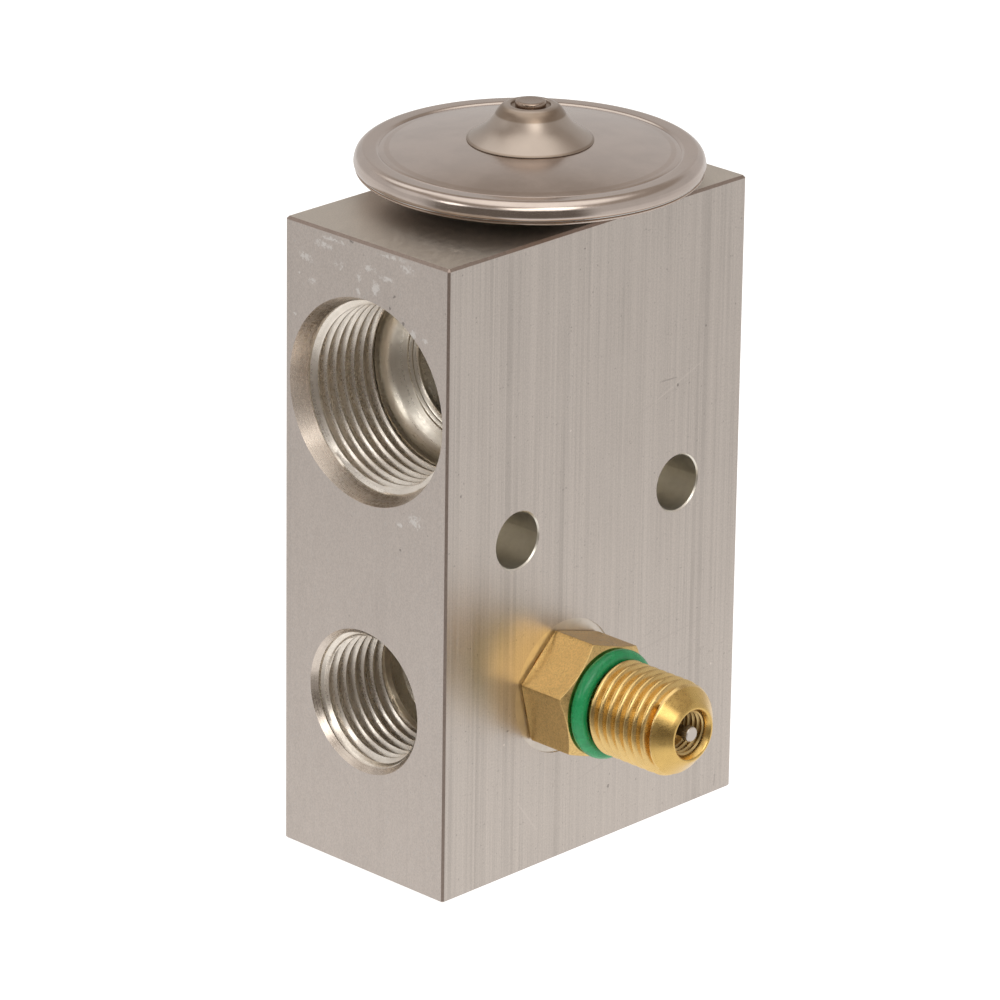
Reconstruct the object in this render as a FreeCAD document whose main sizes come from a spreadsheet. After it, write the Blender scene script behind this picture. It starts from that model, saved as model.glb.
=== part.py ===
import FreeCAD, Part
import Sketcher
import math
import os

# Block type thermal expansion valve.
# Frame: origin at the centre of the block's base, +Z up, +X along the block's
# long side from the liquid inlet end to the evaporator end, -Y the face that
# carries the service port.  Millimetres.

doc = FreeCAD.newDocument("expansion_valve")
V = FreeCAD.Vector

# ---------------------------------------------------------------- dimensions
sheet = doc.addObject("Spreadsheet::Sheet", "Sheet")
DIMS = [
    # the aluminium block
    ("block_length", 47.5, "along X"),
    ("block_width", 25.4, "along Y"),
    ("block_height", 74.75, "along Z"),
    ("upright_break", 0.25, "chamfer on the block's upright edges"),
    ("top_break", 0.3, "chamfer on its top edges"),
    ("foot_break", 0.2, "chamfer on its bottom edges"),
    ("valve_axis_x", 1.75, "X of the valve's own axis"),
    # suction passage
    ("suction_z", 56.2, "height of the suction passage"),
    ("suction_bore_a", 7.0, "radius of the passage from the -X end"),
    ("suction_bore_b", 8.4, "radius of the passage from the +X end"),
    ("suction_step_x", 8.0, "X where the two meet"),
    ("port_a_major", 11.11, "7/8-18 thread, major radius"),
    ("port_a_mouth", 11.94, "radius of its entry cone"),
    ("port_a_entry", 2.05, "depth of its entry cone"),
    ("port_a_depth", 12.5, "depth of the thread and its relief"),
    ("port_a_minor", 10.45, "radius of the tapping drill"),
    ("port_a_drill", 13.0, "depth of the tapping drill"),
    ("port_a_lip", 8.0, "radius where the drill's cone ends"),
    ("port_a_lip_depth", 14.47, "depth of that edge"),
    ("port_b_major", 9.525, "3/4-16 thread, major radius"),
    ("port_b_mouth", 10.3, "radius of its entry cone"),
    ("port_b_depth", 11.0, "threaded depth"),
    ("port_b_minor", 8.7, "radius of the tapping drill"),
    ("port_b_drill", 13.0, "depth of the tapping drill"),
    # liquid inlet
    ("inlet_z", 20.55, "height of the liquid inlet"),
    ("port_c_major", 7.94, "5/8-18 thread, major radius"),
    ("port_c_mouth", 8.51, "radius of its entry cone"),
    ("port_c_depth", 11.15, "depth of the thread and its relief"),
    ("port_c_minor", 7.2, "radius of the tapping drill"),
    ("port_c_drill", 13.0, "depth of the tapping drill"),
    ("inlet_bore", 3.0, "radius of the inlet drilling"),
    ("inlet_end_x", -2.6, "X where the inlet drilling ends"),
    # outlet to the evaporator
    ("outlet_z", 26.2, "height of the outlet"),
    ("outlet_bore", 3.6, "radius of the outlet drilling"),
    ("outlet_end_x", -0.75, "X where the outlet drilling ends"),
    # fixing holes
    ("fixing_r", 3.3, "radius"),
    ("fixing_mouth", 3.46, "radius of the broken edge"),
    ("fixing_z", 40.45, "height"),
    ("fixing_x_left", -12.5, "X of the first"),
    ("fixing_x_right", 13.4, "X of the second"),
    # socket for the power element
    ("socket_r", 9.525, "3/4-16 thread, major radius"),
    ("socket_floor", 66.5, "Z of its floor"),
    ("socket_open", 6.0, "opening from the socket to the passage"),
    ("seal_recess_r", 11.2, "recess round the collar for its seal"),
    ("seal_recess_z", 73.25, "Z of the recess's floor"),
    # rod gland
    ("gland_r", 3.1, "radius of the seal pocket"),
    ("gland_z", 41.5, "Z of the pocket's floor"),
    ("rod_r", 1.2, "operating rod radius"),
    ("rod_play", 0.05, "radial play of the rod"),
    # orifice and lower chamber
    ("orifice_r", 1.75, "radius of the orifice"),
    ("seat_z", 21.6, "Z of the seat"),
    ("chamber_r", 5.2, "radius of the spring chamber"),
    ("adjuster_r", 6.0, "M12 x 1 adjusting screw, major radius"),
    ("adjuster_play", 0.05, "radial play of the adjusting screw"),
    ("adjuster_thread_top", 7.4, "Z where the threaded part of the bore ends"),
    ("adjuster_base", 1.5, "Z of the screw's lower face"),
    ("screw_top", 10.2, "Z of the screw's spring seat"),
    ("ball_r", 2.5, "valve ball radius"),
    ("ball_gap", 0.05, "gap between ball and seat"),
    ("lift", 0.8, "travel of the valve"),
    ("spring_r", 3.3, "mean radius of the valve spring"),
    ("spring_wire", 0.43, "radius of its wire"),
    ("spring_turns", 4.0, "turns"),
    ("carrier_z", 16.4, "Z of the carrier's spring flange"),
    # power element
    ("seam_z", 77.8, "underside of the upper cover"),
    ("film", 0.15, "thickness of the diaphragm"),
    ("rim_r", 19.56, "radius at the welded seam"),
    ("rim_top", 79.82, "Z of the flat rim"),
    ("crown_z", 81.17, "Z of the crown"),
    ("crown_radius", 96.0, "radius of the crown's dome"),
    ("cover_wall", 1.2, "wall of the upper cover"),
    ("pad_r", 10.0, "diaphragm pad radius"),
    ("pad_top", 77.65, "Z of its top"),
    ("sensing_r", 3.0, "sensing rod radius"),
    ("sensing_low", 46.0, "Z of its lower end"),
    ("sensing_high", 75.4, "Z of its upper end"),
    ("stud_play", 0.05, "radial play of the collar in its socket"),
    ("hub_base", 80.965, "Z of the charging hub's lower edge"),
    ("hub_r", 7.05, "radius there"),
    ("hub_top", 84.96, "Z of the hub's shoulder"),
    ("plug_r", 1.72, "radius of the charging plug's head"),
    ("plug_top", 85.45, "Z of the head"),
    # service port
    ("service_x", -4.6, "X of its axis"),
    ("service_z", 20.85, "Z of its axis"),
    ("hex_flats", 12.8, "across flats"),
    ("hex_turn", 43.5, "angle of the first corner"),
    ("spot_r", 7.9, "spot face radius"),
    ("spot_depth", 0.15, "spot face depth"),
    ("stem_r", 4.7, "3/8-24 stem, major radius"),
    ("stem_hole_r", 4.76, "its hole"),
    ("stem_hole_depth", 6.1, "depth of the hole"),
    ("hex_front", 6.6, "height of the hexagon's front face above the block"),
    ("neck_r", 4.6, "neck under the sealing ring"),
    ("thread_start", 8.4, "where the 7/16-20 thread begins"),
    ("thread_end", 17.2, "where it ends"),
    ("thread_r", 5.556, "its major radius"),
    ("nose_r", 5.0, "base radius of the cone"),
    ("nose_base", 17.9, "where the cone begins"),
    ("nose_tip", 19.65, "the mouth"),
    ("mouth_r", 2.65, "core thread radius"),
    ("core_pin_r", 0.62, "core pin radius"),
    ("core_head_r", 0.87, "radius of its outer head"),
    ("core_travel", 1.5, "travel of the core pin"),
]
VALUE = {}
for row, (alias, value, note) in enumerate(DIMS, start=1):
    sheet.set("A%d" % row, alias)
    sheet.set("B%d" % row, "%g" % value)
    sheet.set("C%d" % row, note)
    sheet.setAlias("B%d" % row, alias)
    VALUE[alias] = float(value)
doc.recompute()


class Size:
    """A length that knows both its value and its formula in the sheet."""

    def __init__(self, value, text):
        self.value = float(value)
        self.text = text

    def _pair(self, other):
        if isinstance(other, Size):
            return other.value, other.text
        return float(other), "%.9g" % other if other >= 0 else "(%.9g)" % other

    def __add__(self, other):
        v, t = self._pair(other)
        return Size(self.value + v, "(%s + %s)" % (self.text, t))

    def __radd__(self, other):
        return self.__add__(other)

    def __sub__(self, other):
        v, t = self._pair(other)
        return Size(self.value - v, "(%s - %s)" % (self.text, t))

    def __rsub__(self, other):
        v, t = self._pair(other)
        return Size(v - self.value, "(%s - %s)" % (t, self.text))

    def __mul__(self, other):
        v, t = self._pair(other)
        return Size(self.value * v, "(%s * %s)" % (self.text, t))

    def __rmul__(self, other):
        return self.__mul__(other)

    def __truediv__(self, other):
        v, t = self._pair(other)
        return Size(self.value / v, "(%s / %s)" % (self.text, t))

    def __neg__(self):
        return Size(-self.value, "(0 - %s)" % self.text)


def d(alias):
    return Size(VALUE[alias], "Sheet.%s" % alias)


def root_of(q):
    return Size(math.sqrt(q.value), "sqrt(%s)" % q.text)


def num(q):
    return q.value if isinstance(q, Size) else float(q)


SPHERE_DROP_CHECK = []


def dome_z(crown, radius, r):
    """Height of a dome of the given crown and radius at the distance r."""
    return crown - radius + root_of(radius * radius - r * r)


# ------------------------------------------------------------------- helpers
def plane_of(body, role):
    for feature in body.Origin.OriginFeatures:
        if feature.Role == role:
            return feature
    raise RuntimeError("no plane " + role)


def new_body(label, x=0.0, y=0.0, z=0.0, out=False):
    """A body; out=True turns its local +Z to the row's -Y."""
    body = doc.addObject("PartDesign::Body", label)
    body.Label = label
    turn = FreeCAD.Rotation(V(1, 0, 0), 90.0 if out else 0.0)
    body.Placement = FreeCAD.Placement(V(num(x), num(y), num(z)), turn)
    for key, q in (("x", x), ("y", y), ("z", z)):
        if isinstance(q, Size):
            body.setExpression("Placement.Base." + key, q.text)
    return body


def bind(sketch, kind, args, q):
    """A dimension constraint, bound to the sheet when q has a formula."""
    index = sketch.addConstraint(Sketcher.Constraint(kind, *args, num(q)))
    if isinstance(q, Size):
        sketch.setExpression("Constraints[%d]" % index, q.text)
    return index


def fix_point(sketch, geo, pos, x, y):
    if not isinstance(x, Size) and float(x) == 0.0:
        sketch.addConstraint(Sketcher.Constraint("PointOnObject", geo, pos, -2))
    else:
        bind(sketch, "DistanceX", (-1, 1, geo, pos), x)
    if not isinstance(y, Size) and float(y) == 0.0:
        sketch.addConstraint(Sketcher.Constraint("PointOnObject", geo, pos, -1))
    else:
        bind(sketch, "DistanceY", (-1, 1, geo, pos), y)


def new_sketch(body, name, role, lift=None):
    sketch = body.newObject("Sketcher::SketchObject", name)
    sketch.AttachmentSupport = [(plane_of(body, role), "")]
    sketch.MapMode = "FlatFace"
    if lift is not None:
        sketch.AttachmentOffset = FreeCAD.Placement(V(0, 0, num(lift)), FreeCAD.Rotation())
        if isinstance(lift, Size):
            sketch.setExpression("AttachmentOffset.Base.z", lift.text)
    return sketch


def outline(sketch, path):
    """Closed outline.  Each entry is (x, y) or (x, y, r): with r the edge to
    the next point is an arc of that radius, turning left when r > 0."""
    n = len(path)
    ends = []
    for i in range(n):
        a, b = path[i], path[(i + 1) % n]
        ax, ay, bx, by = num(a[0]), num(a[1]), num(b[0]), num(b[1])
        r = num(a[2]) if len(a) > 2 else 0.0
        if r == 0.0:
            g = sketch.addGeometry(Part.LineSegment(V(ax, ay, 0), V(bx, by, 0)), False)
            ends.append((g, 1, 2))
            continue
        chord = math.hypot(bx - ax, by - ay)
        rise = math.sqrt(max(r * r - chord * chord / 4.0, 0.0))
        nx, ny = -(by - ay) / chord, (bx - ax) / chord
        side = 1.0 if r > 0 else -1.0
        cx = (ax + bx) / 2.0 + side * rise * nx
        cy = (ay + by) / 2.0 + side * rise * ny
        t0 = math.atan2(ay - cy, ax - cx)
        t1 = math.atan2(by - cy, bx - cx)
        circle = Part.Circle(V(cx, cy, 0), V(0, 0, 1), abs(r))
        if r > 0:
            while t1 < t0:
                t1 += 2 * math.pi
            g = sketch.addGeometry(Part.ArcOfCircle(circle, t0, t1), False)
            ends.append((g, 1, 2))
        else:
            while t0 < t1:
                t0 += 2 * math.pi
            g = sketch.addGeometry(Part.ArcOfCircle(circle, t1, t0), False)
            ends.append((g, 2, 1))
    for i in range(n):
        g, first, last = ends[i]
        h, start, _ = ends[(i + 1) % n]
        sketch.addConstraint(Sketcher.Constraint("Coincident", g, last, h, start))
    for i in range(n):
        g, first, _ = ends[i]
        fix_point(sketch, g, first, path[i][0], path[i][1])
        if len(path[i]) > 2 and num(path[i][2]) != 0.0:
            r = path[i][2]
            bind(sketch, "Radius", (g,), r if num(r) > 0 else -r)
    return sketch


def axis_line(sketch, x0, y0, x1, y1):
    """A construction line, used as the axis of a turned cut."""
    g = sketch.addGeometry(Part.LineSegment(V(num(x0), num(y0), 0), V(num(x1), num(y1), 0)), True)
    fix_point(sketch, g, 1, x0, y0)
    fix_point(sketch, g, 2, x1, y1)


def turned(body, name, path):
    """A solid turned about the body's own Z axis from (radius, height)."""
    sketch = outline(new_sketch(body, name + "_outline", "XZ_Plane"), path)
    feature = body.newObject("PartDesign::Revolution", name)
    feature.Profile = sketch
    feature.ReferenceAxis = (sketch, ["V_Axis"])
    feature.Angle = 360.0
    doc.recompute()
    return feature


def turned_cut(body, name, path, role="XZ_Plane", lift=None, axis=None):
    """A cut turned about the body's Z axis, or about a line of the sketch."""
    before = body.Shape.Volume
    sketch = new_sketch(body, name + "_outline", role, lift)
    if axis is not None:
        axis_line(sketch, *axis)
    outline(sketch, path)
    feature = body.newObject("PartDesign::Groove", name)
    feature.Profile = sketch
    feature.ReferenceAxis = (sketch, ["Axis0"] if axis is not None else ["V_Axis"])
    feature.Angle = 360.0
    doc.recompute()
    after = body.Shape.Volume
    if not after < before - 1e-4:
        raise RuntimeError("the cut %s removes nothing" % name)
    return feature


def hexagon(sketch, flats, turn):
    """A hexagon round the origin with its first corner at turn degrees."""
    # corners from the flats and the angle, each bound by its own formula
    path = []
    for k in range(6):
        angle = turn + 60.0 * k if isinstance(turn, Size) else Size(turn + 60.0 * k, "%g" % (turn + 60.0 * k))
        c = math.cos(math.radians(angle.value))
        s = math.sin(math.radians(angle.value))
        side = flats / math.sqrt(3.0)
        path.append((
            Size(side.value * c, "(%s * cos(%s * 1deg))" % (side.text, angle.text)),
            Size(side.value * s, "(%s * sin(%s * 1deg))" % (side.text, angle.text)),
        ))
    return outline(sketch, path)


def padded(body, name, sketch, length):
    feature = body.newObject("PartDesign::Pad", name)
    feature.Profile = sketch
    feature.Length = num(length)
    if isinstance(length, Size):
        feature.setExpression("Length", length.text)
    doc.recompute()
    return feature


def pocketed(body, name, sketch, length, reverse=False):
    before = body.Shape.Volume
    feature = body.newObject("PartDesign::Pocket", name)
    feature.Profile = sketch
    feature.Length = num(length)
    if isinstance(length, Size):
        feature.setExpression("Length", length.text)
    feature.Reversed = reverse
    doc.recompute()
    if not body.Shape.Volume < before - 1e-4:
        raise RuntimeError("the pocket %s removes nothing" % name)
    return feature


def turned_part(label, path, x=0.0, y=0.0, z=0.0, out=False):
    body = new_body(label, x, y, z, out)
    turned(body, label + "_turned", path)
    return body


PARTS = []

# --------------------------------------------------------------- valve block
half_l = d("block_length") / 2
half_w = d("block_width") / 2
height = d("block_height")
ax = d("valve_axis_x")

block = new_body("valve_block")
base = outline(new_sketch(block, "base_outline", "XY_Plane"), [
    (-half_l, -half_w), (half_l, -half_w), (half_l, half_w), (-half_l, half_w)])
pad = padded(block, "bar", base, height)


def edge_names(shape, wanted):
    """Names of the straight edges whose two ends both answer the test."""
    found = []
    for i, edge in enumerate(shape.Edges):
        ends = [v.Point for v in edge.Vertexes]
        if len(ends) == 2 and wanted(ends[0], ends[1]):
            found.append("Edge%d" % (i + 1))
    return found


def break_edges(name, source, wanted, q):
    chamfer = block.newObject("PartDesign::Chamfer", name)
    chamfer.Base = (source, edge_names(source.Shape, wanted))
    chamfer.Size = num(q)
    chamfer.setExpression("Size", q.text)
    doc.recompute()
    return chamfer


top = num(height)
upright = break_edges("upright_edges", pad, lambda a, b: abs(a.z - b.z) > 1.0, d("upright_break"))
upper_edges = break_edges("top_edges", upright, lambda a, b: a.z > top - 1e-6 and b.z > top - 1e-6,
                          d("top_break"))
break_edges("foot_edges", upper_edges, lambda a, b: a.z < 1e-6 and b.z < 1e-6, d("foot_break"))

# suction side: entry cone, threaded length, tapping drill, through passage
sz = d("suction_z")
turned_cut(block, "suction_outlet_port", [
    (-half_l - 1, sz), (-half_l - 1, sz + d("port_a_mouth")),
    (-half_l, sz + d("port_a_mouth")), (-half_l + d("port_a_entry"), sz + d("port_a_major")),
    (-half_l + d("port_a_depth"), sz + d("port_a_major")),
    (-half_l + d("port_a_depth") + 0.1, sz + d("port_a_minor")),
    (-half_l + d("port_a_drill"), sz + d("port_a_minor")),
    (-half_l + d("port_a_lip_depth"), sz + d("port_a_lip")),
    (-half_l + d("port_a_lip_depth") + 0.25, sz + d("port_a_lip") - 0.05),
    (-half_l + d("port_a_lip_depth") + 0.75, sz + d("suction_bore_a")),
    (d("suction_step_x"), sz + d("suction_bore_a")),
    (d("suction_step_x") + 0.5, sz + d("suction_bore_b")),
    (half_l - d("port_b_drill") - 0.3, sz + d("suction_bore_b")),
    (half_l - d("port_b_drill"), sz + d("port_b_minor")),
    (half_l - d("port_b_depth") - 0.2, sz + d("port_b_minor")),
    (half_l - d("port_b_depth"), sz + d("port_b_major")),
    (half_l - 0.9, sz + d("port_b_major")), (half_l, sz + d("port_b_mouth")),
    (half_l + 1, sz + d("port_b_mouth")), (half_l + 1, sz)],
    axis=(-half_l, sz, half_l, sz))

# liquid inlet on the -X end
iz = d("inlet_z")
turned_cut(block, "liquid_inlet_port", [
    (-half_l - 1, iz), (-half_l - 1, iz + d("port_c_mouth")),
    (-half_l, iz + d("port_c_mouth")), (-half_l + 0.7, iz + d("port_c_major")),
    (-half_l + d("port_c_depth"), iz + d("port_c_major")),
    (-half_l + d("port_c_depth") + 0.1, iz + d("port_c_minor")),
    (-half_l + d("port_c_drill"), iz + d("port_c_minor")),
    (-half_l + d("port_c_drill") + 1.8, iz + d("inlet_bore")),
    (d("inlet_end_x"), iz + d("inlet_bore")),
    (d("inlet_end_x"), iz)],
    axis=(-half_l, iz, half_l, iz))

# outlet to the evaporator on the +X end
oz = d("outlet_z")
turned_cut(block, "evaporator_outlet_port", [
    (half_l + 1, oz), (half_l + 1, oz + d("port_b_mouth")),
    (half_l, oz + d("port_b_mouth")), (half_l - 0.9, oz + d("port_b_major")),
    (half_l - d("port_b_depth"), oz + d("port_b_major")),
    (half_l - d("port_b_depth") - 0.25, oz + d("port_b_minor")),
    (half_l - d("port_b_drill"), oz + d("port_b_minor")),
    (half_l - d("port_b_drill") - 2.4, oz + d("outlet_bore")),
    (d("outlet_end_x"), oz + d("outlet_bore")),
    (d("outlet_end_x"), oz)],
    axis=(-half_l, oz, half_l, oz))

# socket of the power element, seal recess and opening into the passage
turned_cut(block, "element_socket", [
    (ax, height + 1), (ax + d("seal_recess_r") + 0.3, height + 1),
    (ax + d("seal_recess_r") + 0.3, height), (ax + d("seal_recess_r"), height - 0.3),
    (ax + d("seal_recess_r"), d("seal_recess_z")),
    (ax + d("socket_r"), d("seal_recess_z")), (ax + d("socket_r"), d("socket_floor")),
    (ax + d("socket_open"), d("socket_floor")), (ax + d("socket_open"), sz + 2.5),
    (ax, sz + 2.5)],
    axis=(ax, 0, ax, height))

# seal pocket and guide bore of the operating rod
turned_cut(block, "rod_gland", [
    (ax, sz - 6.0), (ax + d("gland_r"), sz - 6.0), (ax + d("gland_r"), d("gland_z")),
    (ax + d("rod_r") + d("rod_play"), d("gland_z") - 0.3),
    (ax + d("rod_r") + d("rod_play"), oz), (ax, oz)],
    axis=(ax, 0, ax, height))

# adjuster bore, spring chamber, seat and orifice
adj_bore = d("adjuster_r") + d("adjuster_play")
turned_cut(block, "spring_chamber", [
    (ax, -1), (ax + adj_bore + 0.6, -1), (ax + adj_bore + 0.6, 0),
    (ax + adj_bore, 0.6), (ax + adj_bore, d("adjuster_thread_top")),
    (ax + d("chamber_r"), d("adjuster_thread_top")),
    (ax + d("chamber_r"), d("seat_z") - 0.6), (ax + d("chamber_r") - 0.6, d("seat_z")),
    (ax + d("orifice_r"), d("seat_z")), (ax + d("orifice_r"), oz - 2.0), (ax, oz - 2.0)],
    axis=(ax, 0, ax, height))

# the two fixing holes, right through along Y
for name, alias in (("left", "fixing_x_left"), ("right", "fixing_x_right")):
    fx = d(alias)
    turned_cut(block, "fixing_hole_" + name, [
        (fx, -half_w - 1), (fx + d("fixing_mouth"), -half_w - 1), (fx + d("fixing_mouth"), -half_w),
        (fx + d("fixing_r"), -half_w + (d("fixing_mouth") - d("fixing_r"))),
        (fx + d("fixing_r"), half_w - (d("fixing_mouth") - d("fixing_r"))),
        (fx + d("fixing_mouth"), half_w), (fx + d("fixing_mouth"), half_w + 1), (fx, half_w + 1)],
        role="XY_Plane", lift=d("fixing_z"), axis=(fx, -half_w, fx, half_w))

# service port: spot face, seal recess, threaded hole and drilling to the inlet
px = d("service_x")
turned_cut(block, "service_hole", [
    (px, -half_w - 1), (px + d("spot_r"), -half_w - 1),
    (px + d("spot_r"), -half_w + d("spot_depth")),
    (px + 6.25, -half_w + d("spot_depth")), (px + 6.25, -half_w + d("spot_depth") + 1.45),
    (px + d("stem_hole_r"), -half_w + d("spot_depth") + 1.45),
    (px + d("stem_hole_r"), -half_w + d("stem_hole_depth")),
    (px + 1.5, -half_w + d("stem_hole_depth") + 0.6), (px + 1.5, -2.0), (px, -2.0)],
    role="XY_Plane", lift=d("service_z"), axis=(px, -half_w, px, half_w))
PARTS.append(block)

# ------------------------------------------------------------- power element
seam = d("seam_z")
film = d("film")
rim_top = d("rim_top")
crown, big = d("crown_z"), d("crown_radius")
wall = d("cover_wall")
upper = turned_part("upper_cover", [
    (17.0, seam), (d("rim_r") - 0.1, seam), (d("rim_r"), seam + 0.1, 3.0),
    (19.56, seam + 1.22, 0.86), (18.72, rim_top),
    (17.2, rim_top), (16.88, dome_z(crown, big, Size(16.88, "16.88")) - 0.02),
    (16.7, dome_z(crown, big, Size(16.7, "16.7")), big),
    (1.1, dome_z(crown, big, Size(1.1, "1.1"))),
    (1.1, dome_z(crown - wall, big - wall, Size(1.1, "1.1")), -(big - wall)),
    (15.9, dome_z(crown - wall, big - wall, Size(15.9, "15.9")))],
    x=ax)
PARTS.append(upper)

lower = turned_part("lower_cover", [
    (8.6, height + 1.25), (10.6, height + 1.25), (12.2, height + 1.37),
    (15.6, height + 2.05), (17.0, seam - film), (19.45, seam - film),
    (19.45, seam - 0.28), (19.2, seam - 0.5), (18.7, height + 2.43), (18.0, height + 2.2),
    (17.0, height + 1.85), (15.2, height + 1.25), (12.6, height + 0.55), (10.8, height + 0.45), (8.6, height + 0.45)], x=ax)
PARTS.append(lower)

stud = d("socket_r") - d("stud_play")
collar = turned_part("mounting_collar", [
    (6.4, d("socket_floor") + 0.8), (stud - 0.35, d("socket_floor") + 0.8),
    (stud, d("socket_floor") + 1.15), (stud, d("seal_recess_z") - 0.05),
    (9.2, d("seal_recess_z") + 0.2), (9.2, height), (10.4, height),
    (10.4, height + 0.45), (8.6, height + 0.45), (8.6, height + 1.25),
    (7.6, height + 1.25), (6.4, height + 0.45)], x=ax)
PARTS.append(collar)

# the diaphragm: a clamped flat rim, two rolled waves, a flat centre
wave = [10.8, 12.25, 13.7, 15.15, 16.6]
low_z = seam - film
under = [(0, low_z)]
for i, r in enumerate(wave):
    under.append((r, low_z, 1.2 if i % 2 == 0 else -1.2) if i < len(wave) - 1 else (r, low_z))
over = [(wave[-1], seam, 1.2 if (len(wave) - 2) % 2 else -1.2)]
for i in range(len(wave) - 2, 0, -1):
    over.append((wave[i], seam, 1.2 if (i - 1) % 2 else -1.2))
over.append((wave[0], seam))
diaphragm = turned_part("diaphragm", under + [(19.35, low_z), (19.35, seam)] + over + [(0, seam)], x=ax)
PARTS.append(diaphragm)

hub_b, hub_t = d("hub_base"), d("hub_top")
hub = turned_part("charge_hub", [
    (0.95, hub_b + 0.335), (6.15, hub_b + 0.235), (6.35, hub_b), (d("hub_r"), hub_b),
    (6.98, hub_b + 0.14, -4.56), (4.95, hub_b + 1.53), (3.5, hub_t - 0.5, 0.85),
    (2.8, hub_t), (2.35, hub_t), (2.2, hub_t - 0.18), (0.95, hub_t - 0.18)], x=ax)
PARTS.append(hub)

plug = turned_part("charge_plug", [
    (0, hub_b - 0.55), (0.55, hub_b - 0.55), (0.92, hub_b - 0.1), (0.92, hub_t - 0.18),
    (d("plug_r"), hub_t - 0.18), (d("plug_r"), d("plug_top") - 0.16, 0.16),
    (d("plug_r") - 0.16, d("plug_top")), (0, d("plug_top"))], x=ax)
PARTS.append(plug)


def ring(label, centre_r, tube_r, x=0.0, y=0.0, z=0.0, out=False):
    """A round section sealing ring."""
    body = new_body(label, x, y, z, out)
    sketch = new_sketch(body, label + "_section", "XZ_Plane")
    g = sketch.addGeometry(Part.Circle(V(num(centre_r), 0, 0), V(0, 0, 1), num(tube_r)), False)
    bind(sketch, "DistanceX", (-1, 1, g, 3), centre_r)
    sketch.addConstraint(Sketcher.Constraint("PointOnObject", g, 3, -1))
    bind(sketch, "Radius", (g,), tube_r)
    feature = body.newObject("PartDesign::Revolution", label + "_turned")
    feature.Profile = sketch
    feature.ReferenceAxis = (sketch, ["V_Axis"])
    feature.Angle = 360.0
    doc.recompute()
    return body


PARTS.append(ring("collar_seal", Size(10.33, "10.33"), Size(0.73, "0.73"), x=ax,
                  z=d("seal_recess_z") + 0.75))

pad_piece = turned_part("diaphragm_pad", [
    (0, d("sensing_high")), (d("sensing_r") + 0.02, d("sensing_high")),
    (d("sensing_r") + 0.02, 70.2), (4.4, 70.2), (4.4, d("pad_top") - 0.8),
    (d("pad_r") - 0.2, d("pad_top") - 0.8), (d("pad_r"), d("pad_top") - 0.6),
    (d("pad_r"), d("pad_top") - 0.2), (d("pad_r") - 0.2, d("pad_top")), (0, d("pad_top"))], x=ax)
PARTS.append(pad_piece)

rod_low = d("seat_z") - root_of(d("ball_r") * d("ball_r") - d("orifice_r") * d("orifice_r")) - d("ball_gap") + d("ball_r")
rod_high = d("sensing_low") + 4.5
sensing = turned_part("sensing_rod", [
    (d("rod_r") + 0.02, d("sensing_low")), (d("sensing_r") - 0.3, d("sensing_low")),
    (d("sensing_r"), d("sensing_low") + 0.3), (d("sensing_r"), d("sensing_high") - 0.3),
    (d("sensing_r") - 0.3, d("sensing_high")), (0, d("sensing_high")),
    (0, rod_high), (d("rod_r") + 0.02, rod_high)], x=ax)
PARTS.append(sensing)

rod = turned_part("operating_rod", [
    (0, rod_low), (d("rod_r") - 0.15, rod_low), (d("rod_r"), rod_low + 0.15),
    (d("rod_r"), rod_high - 0.15), (d("rod_r") - 0.15, rod_high), (0, rod_high)], x=ax)
PARTS.append(rod)

PARTS.append(ring("rod_seal", Size(2.16, "2.16"), Size(0.9, "0.9"), x=ax, z=d("gland_z") + 0.95))
retainer = turned_part("seal_retainer", [
    (1.6, d("gland_z") + 2.1), (2.2, d("gland_z") + 1.95), (d("gland_r"), d("gland_z") + 2.4),
    (d("gland_r"), d("gland_z") + 2.85), (2.2, d("gland_z") + 2.4), (1.6, d("gland_z") + 2.55)], x=ax)
PARTS.append(retainer)

# --------------------------------------------------------- ball, spring, screw
ball_z = d("seat_z") - root_of(d("ball_r") * d("ball_r") - d("orifice_r") * d("orifice_r")) - d("ball_gap")
ball = doc.addObject("Part::Sphere", "valve_ball")
ball.Label = "valve_ball"
ball.Radius = num(d("ball_r"))
ball.setExpression("Radius", d("ball_r").text)
ball.Placement = FreeCAD.Placement(V(num(ax), 0, num(ball_z)), FreeCAD.Rotation())
ball.setExpression("Placement.Base.x", ax.text)
ball.setExpression("Placement.Base.z", ball_z.text)
PARTS.append(ball)

cz = d("carrier_z")
cup_z = ball_z - 1.16
cup_r = root_of(d("ball_r") * d("ball_r") - Size(1.16 * 1.16, "1.3456"))
carrier = turned_part("ball_carrier", [
    (0, cz - 1.4), (2.1, cz - 1.4), (2.3, cz - 1.2), (2.3, cz), (4.3, cz), (4.3, cz + 0.7),
    (3.2, cz + 1.5), (3.2, cup_z), (cup_r, cup_z, -d("ball_r")), (0, ball_z - d("ball_r"))], x=ax)
PARTS.append(carrier)


def coil(label, mean_r, wire_r, turns, low, high, x, y, z, out=False):
    """A coil spring: a round wire carried along a helix between two heights."""
    body = new_body(label, x, y, z, out)
    sketch = new_sketch(body, label + "_wire", "XZ_Plane")
    g = sketch.addGeometry(
        Part.Circle(V(num(mean_r), num(low) + num(wire_r), 0), V(0, 0, 1), num(wire_r)), False)
    bind(sketch, "DistanceX", (-1, 1, g, 3), mean_r)
    bind(sketch, "DistanceY", (-1, 1, g, 3), low + wire_r)
    bind(sketch, "Radius", (g,), wire_r)
    rise = high - low - wire_r * 2
    feature = body.newObject("PartDesign::AdditiveHelix", label + "_coil")
    feature.Profile = sketch
    feature.ReferenceAxis = (sketch, ["V_Axis"])
    feature.Mode = "pitch-height-angle"
    feature.Pitch = num(rise) / num(turns)
    feature.setExpression("Pitch", "%s / %s" % (rise.text, turns.text))
    feature.Height = num(rise)
    feature.setExpression("Height", rise.text)
    feature.Angle = 0.0
    feature.Reversed = False
    doc.recompute()
    return body


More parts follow.
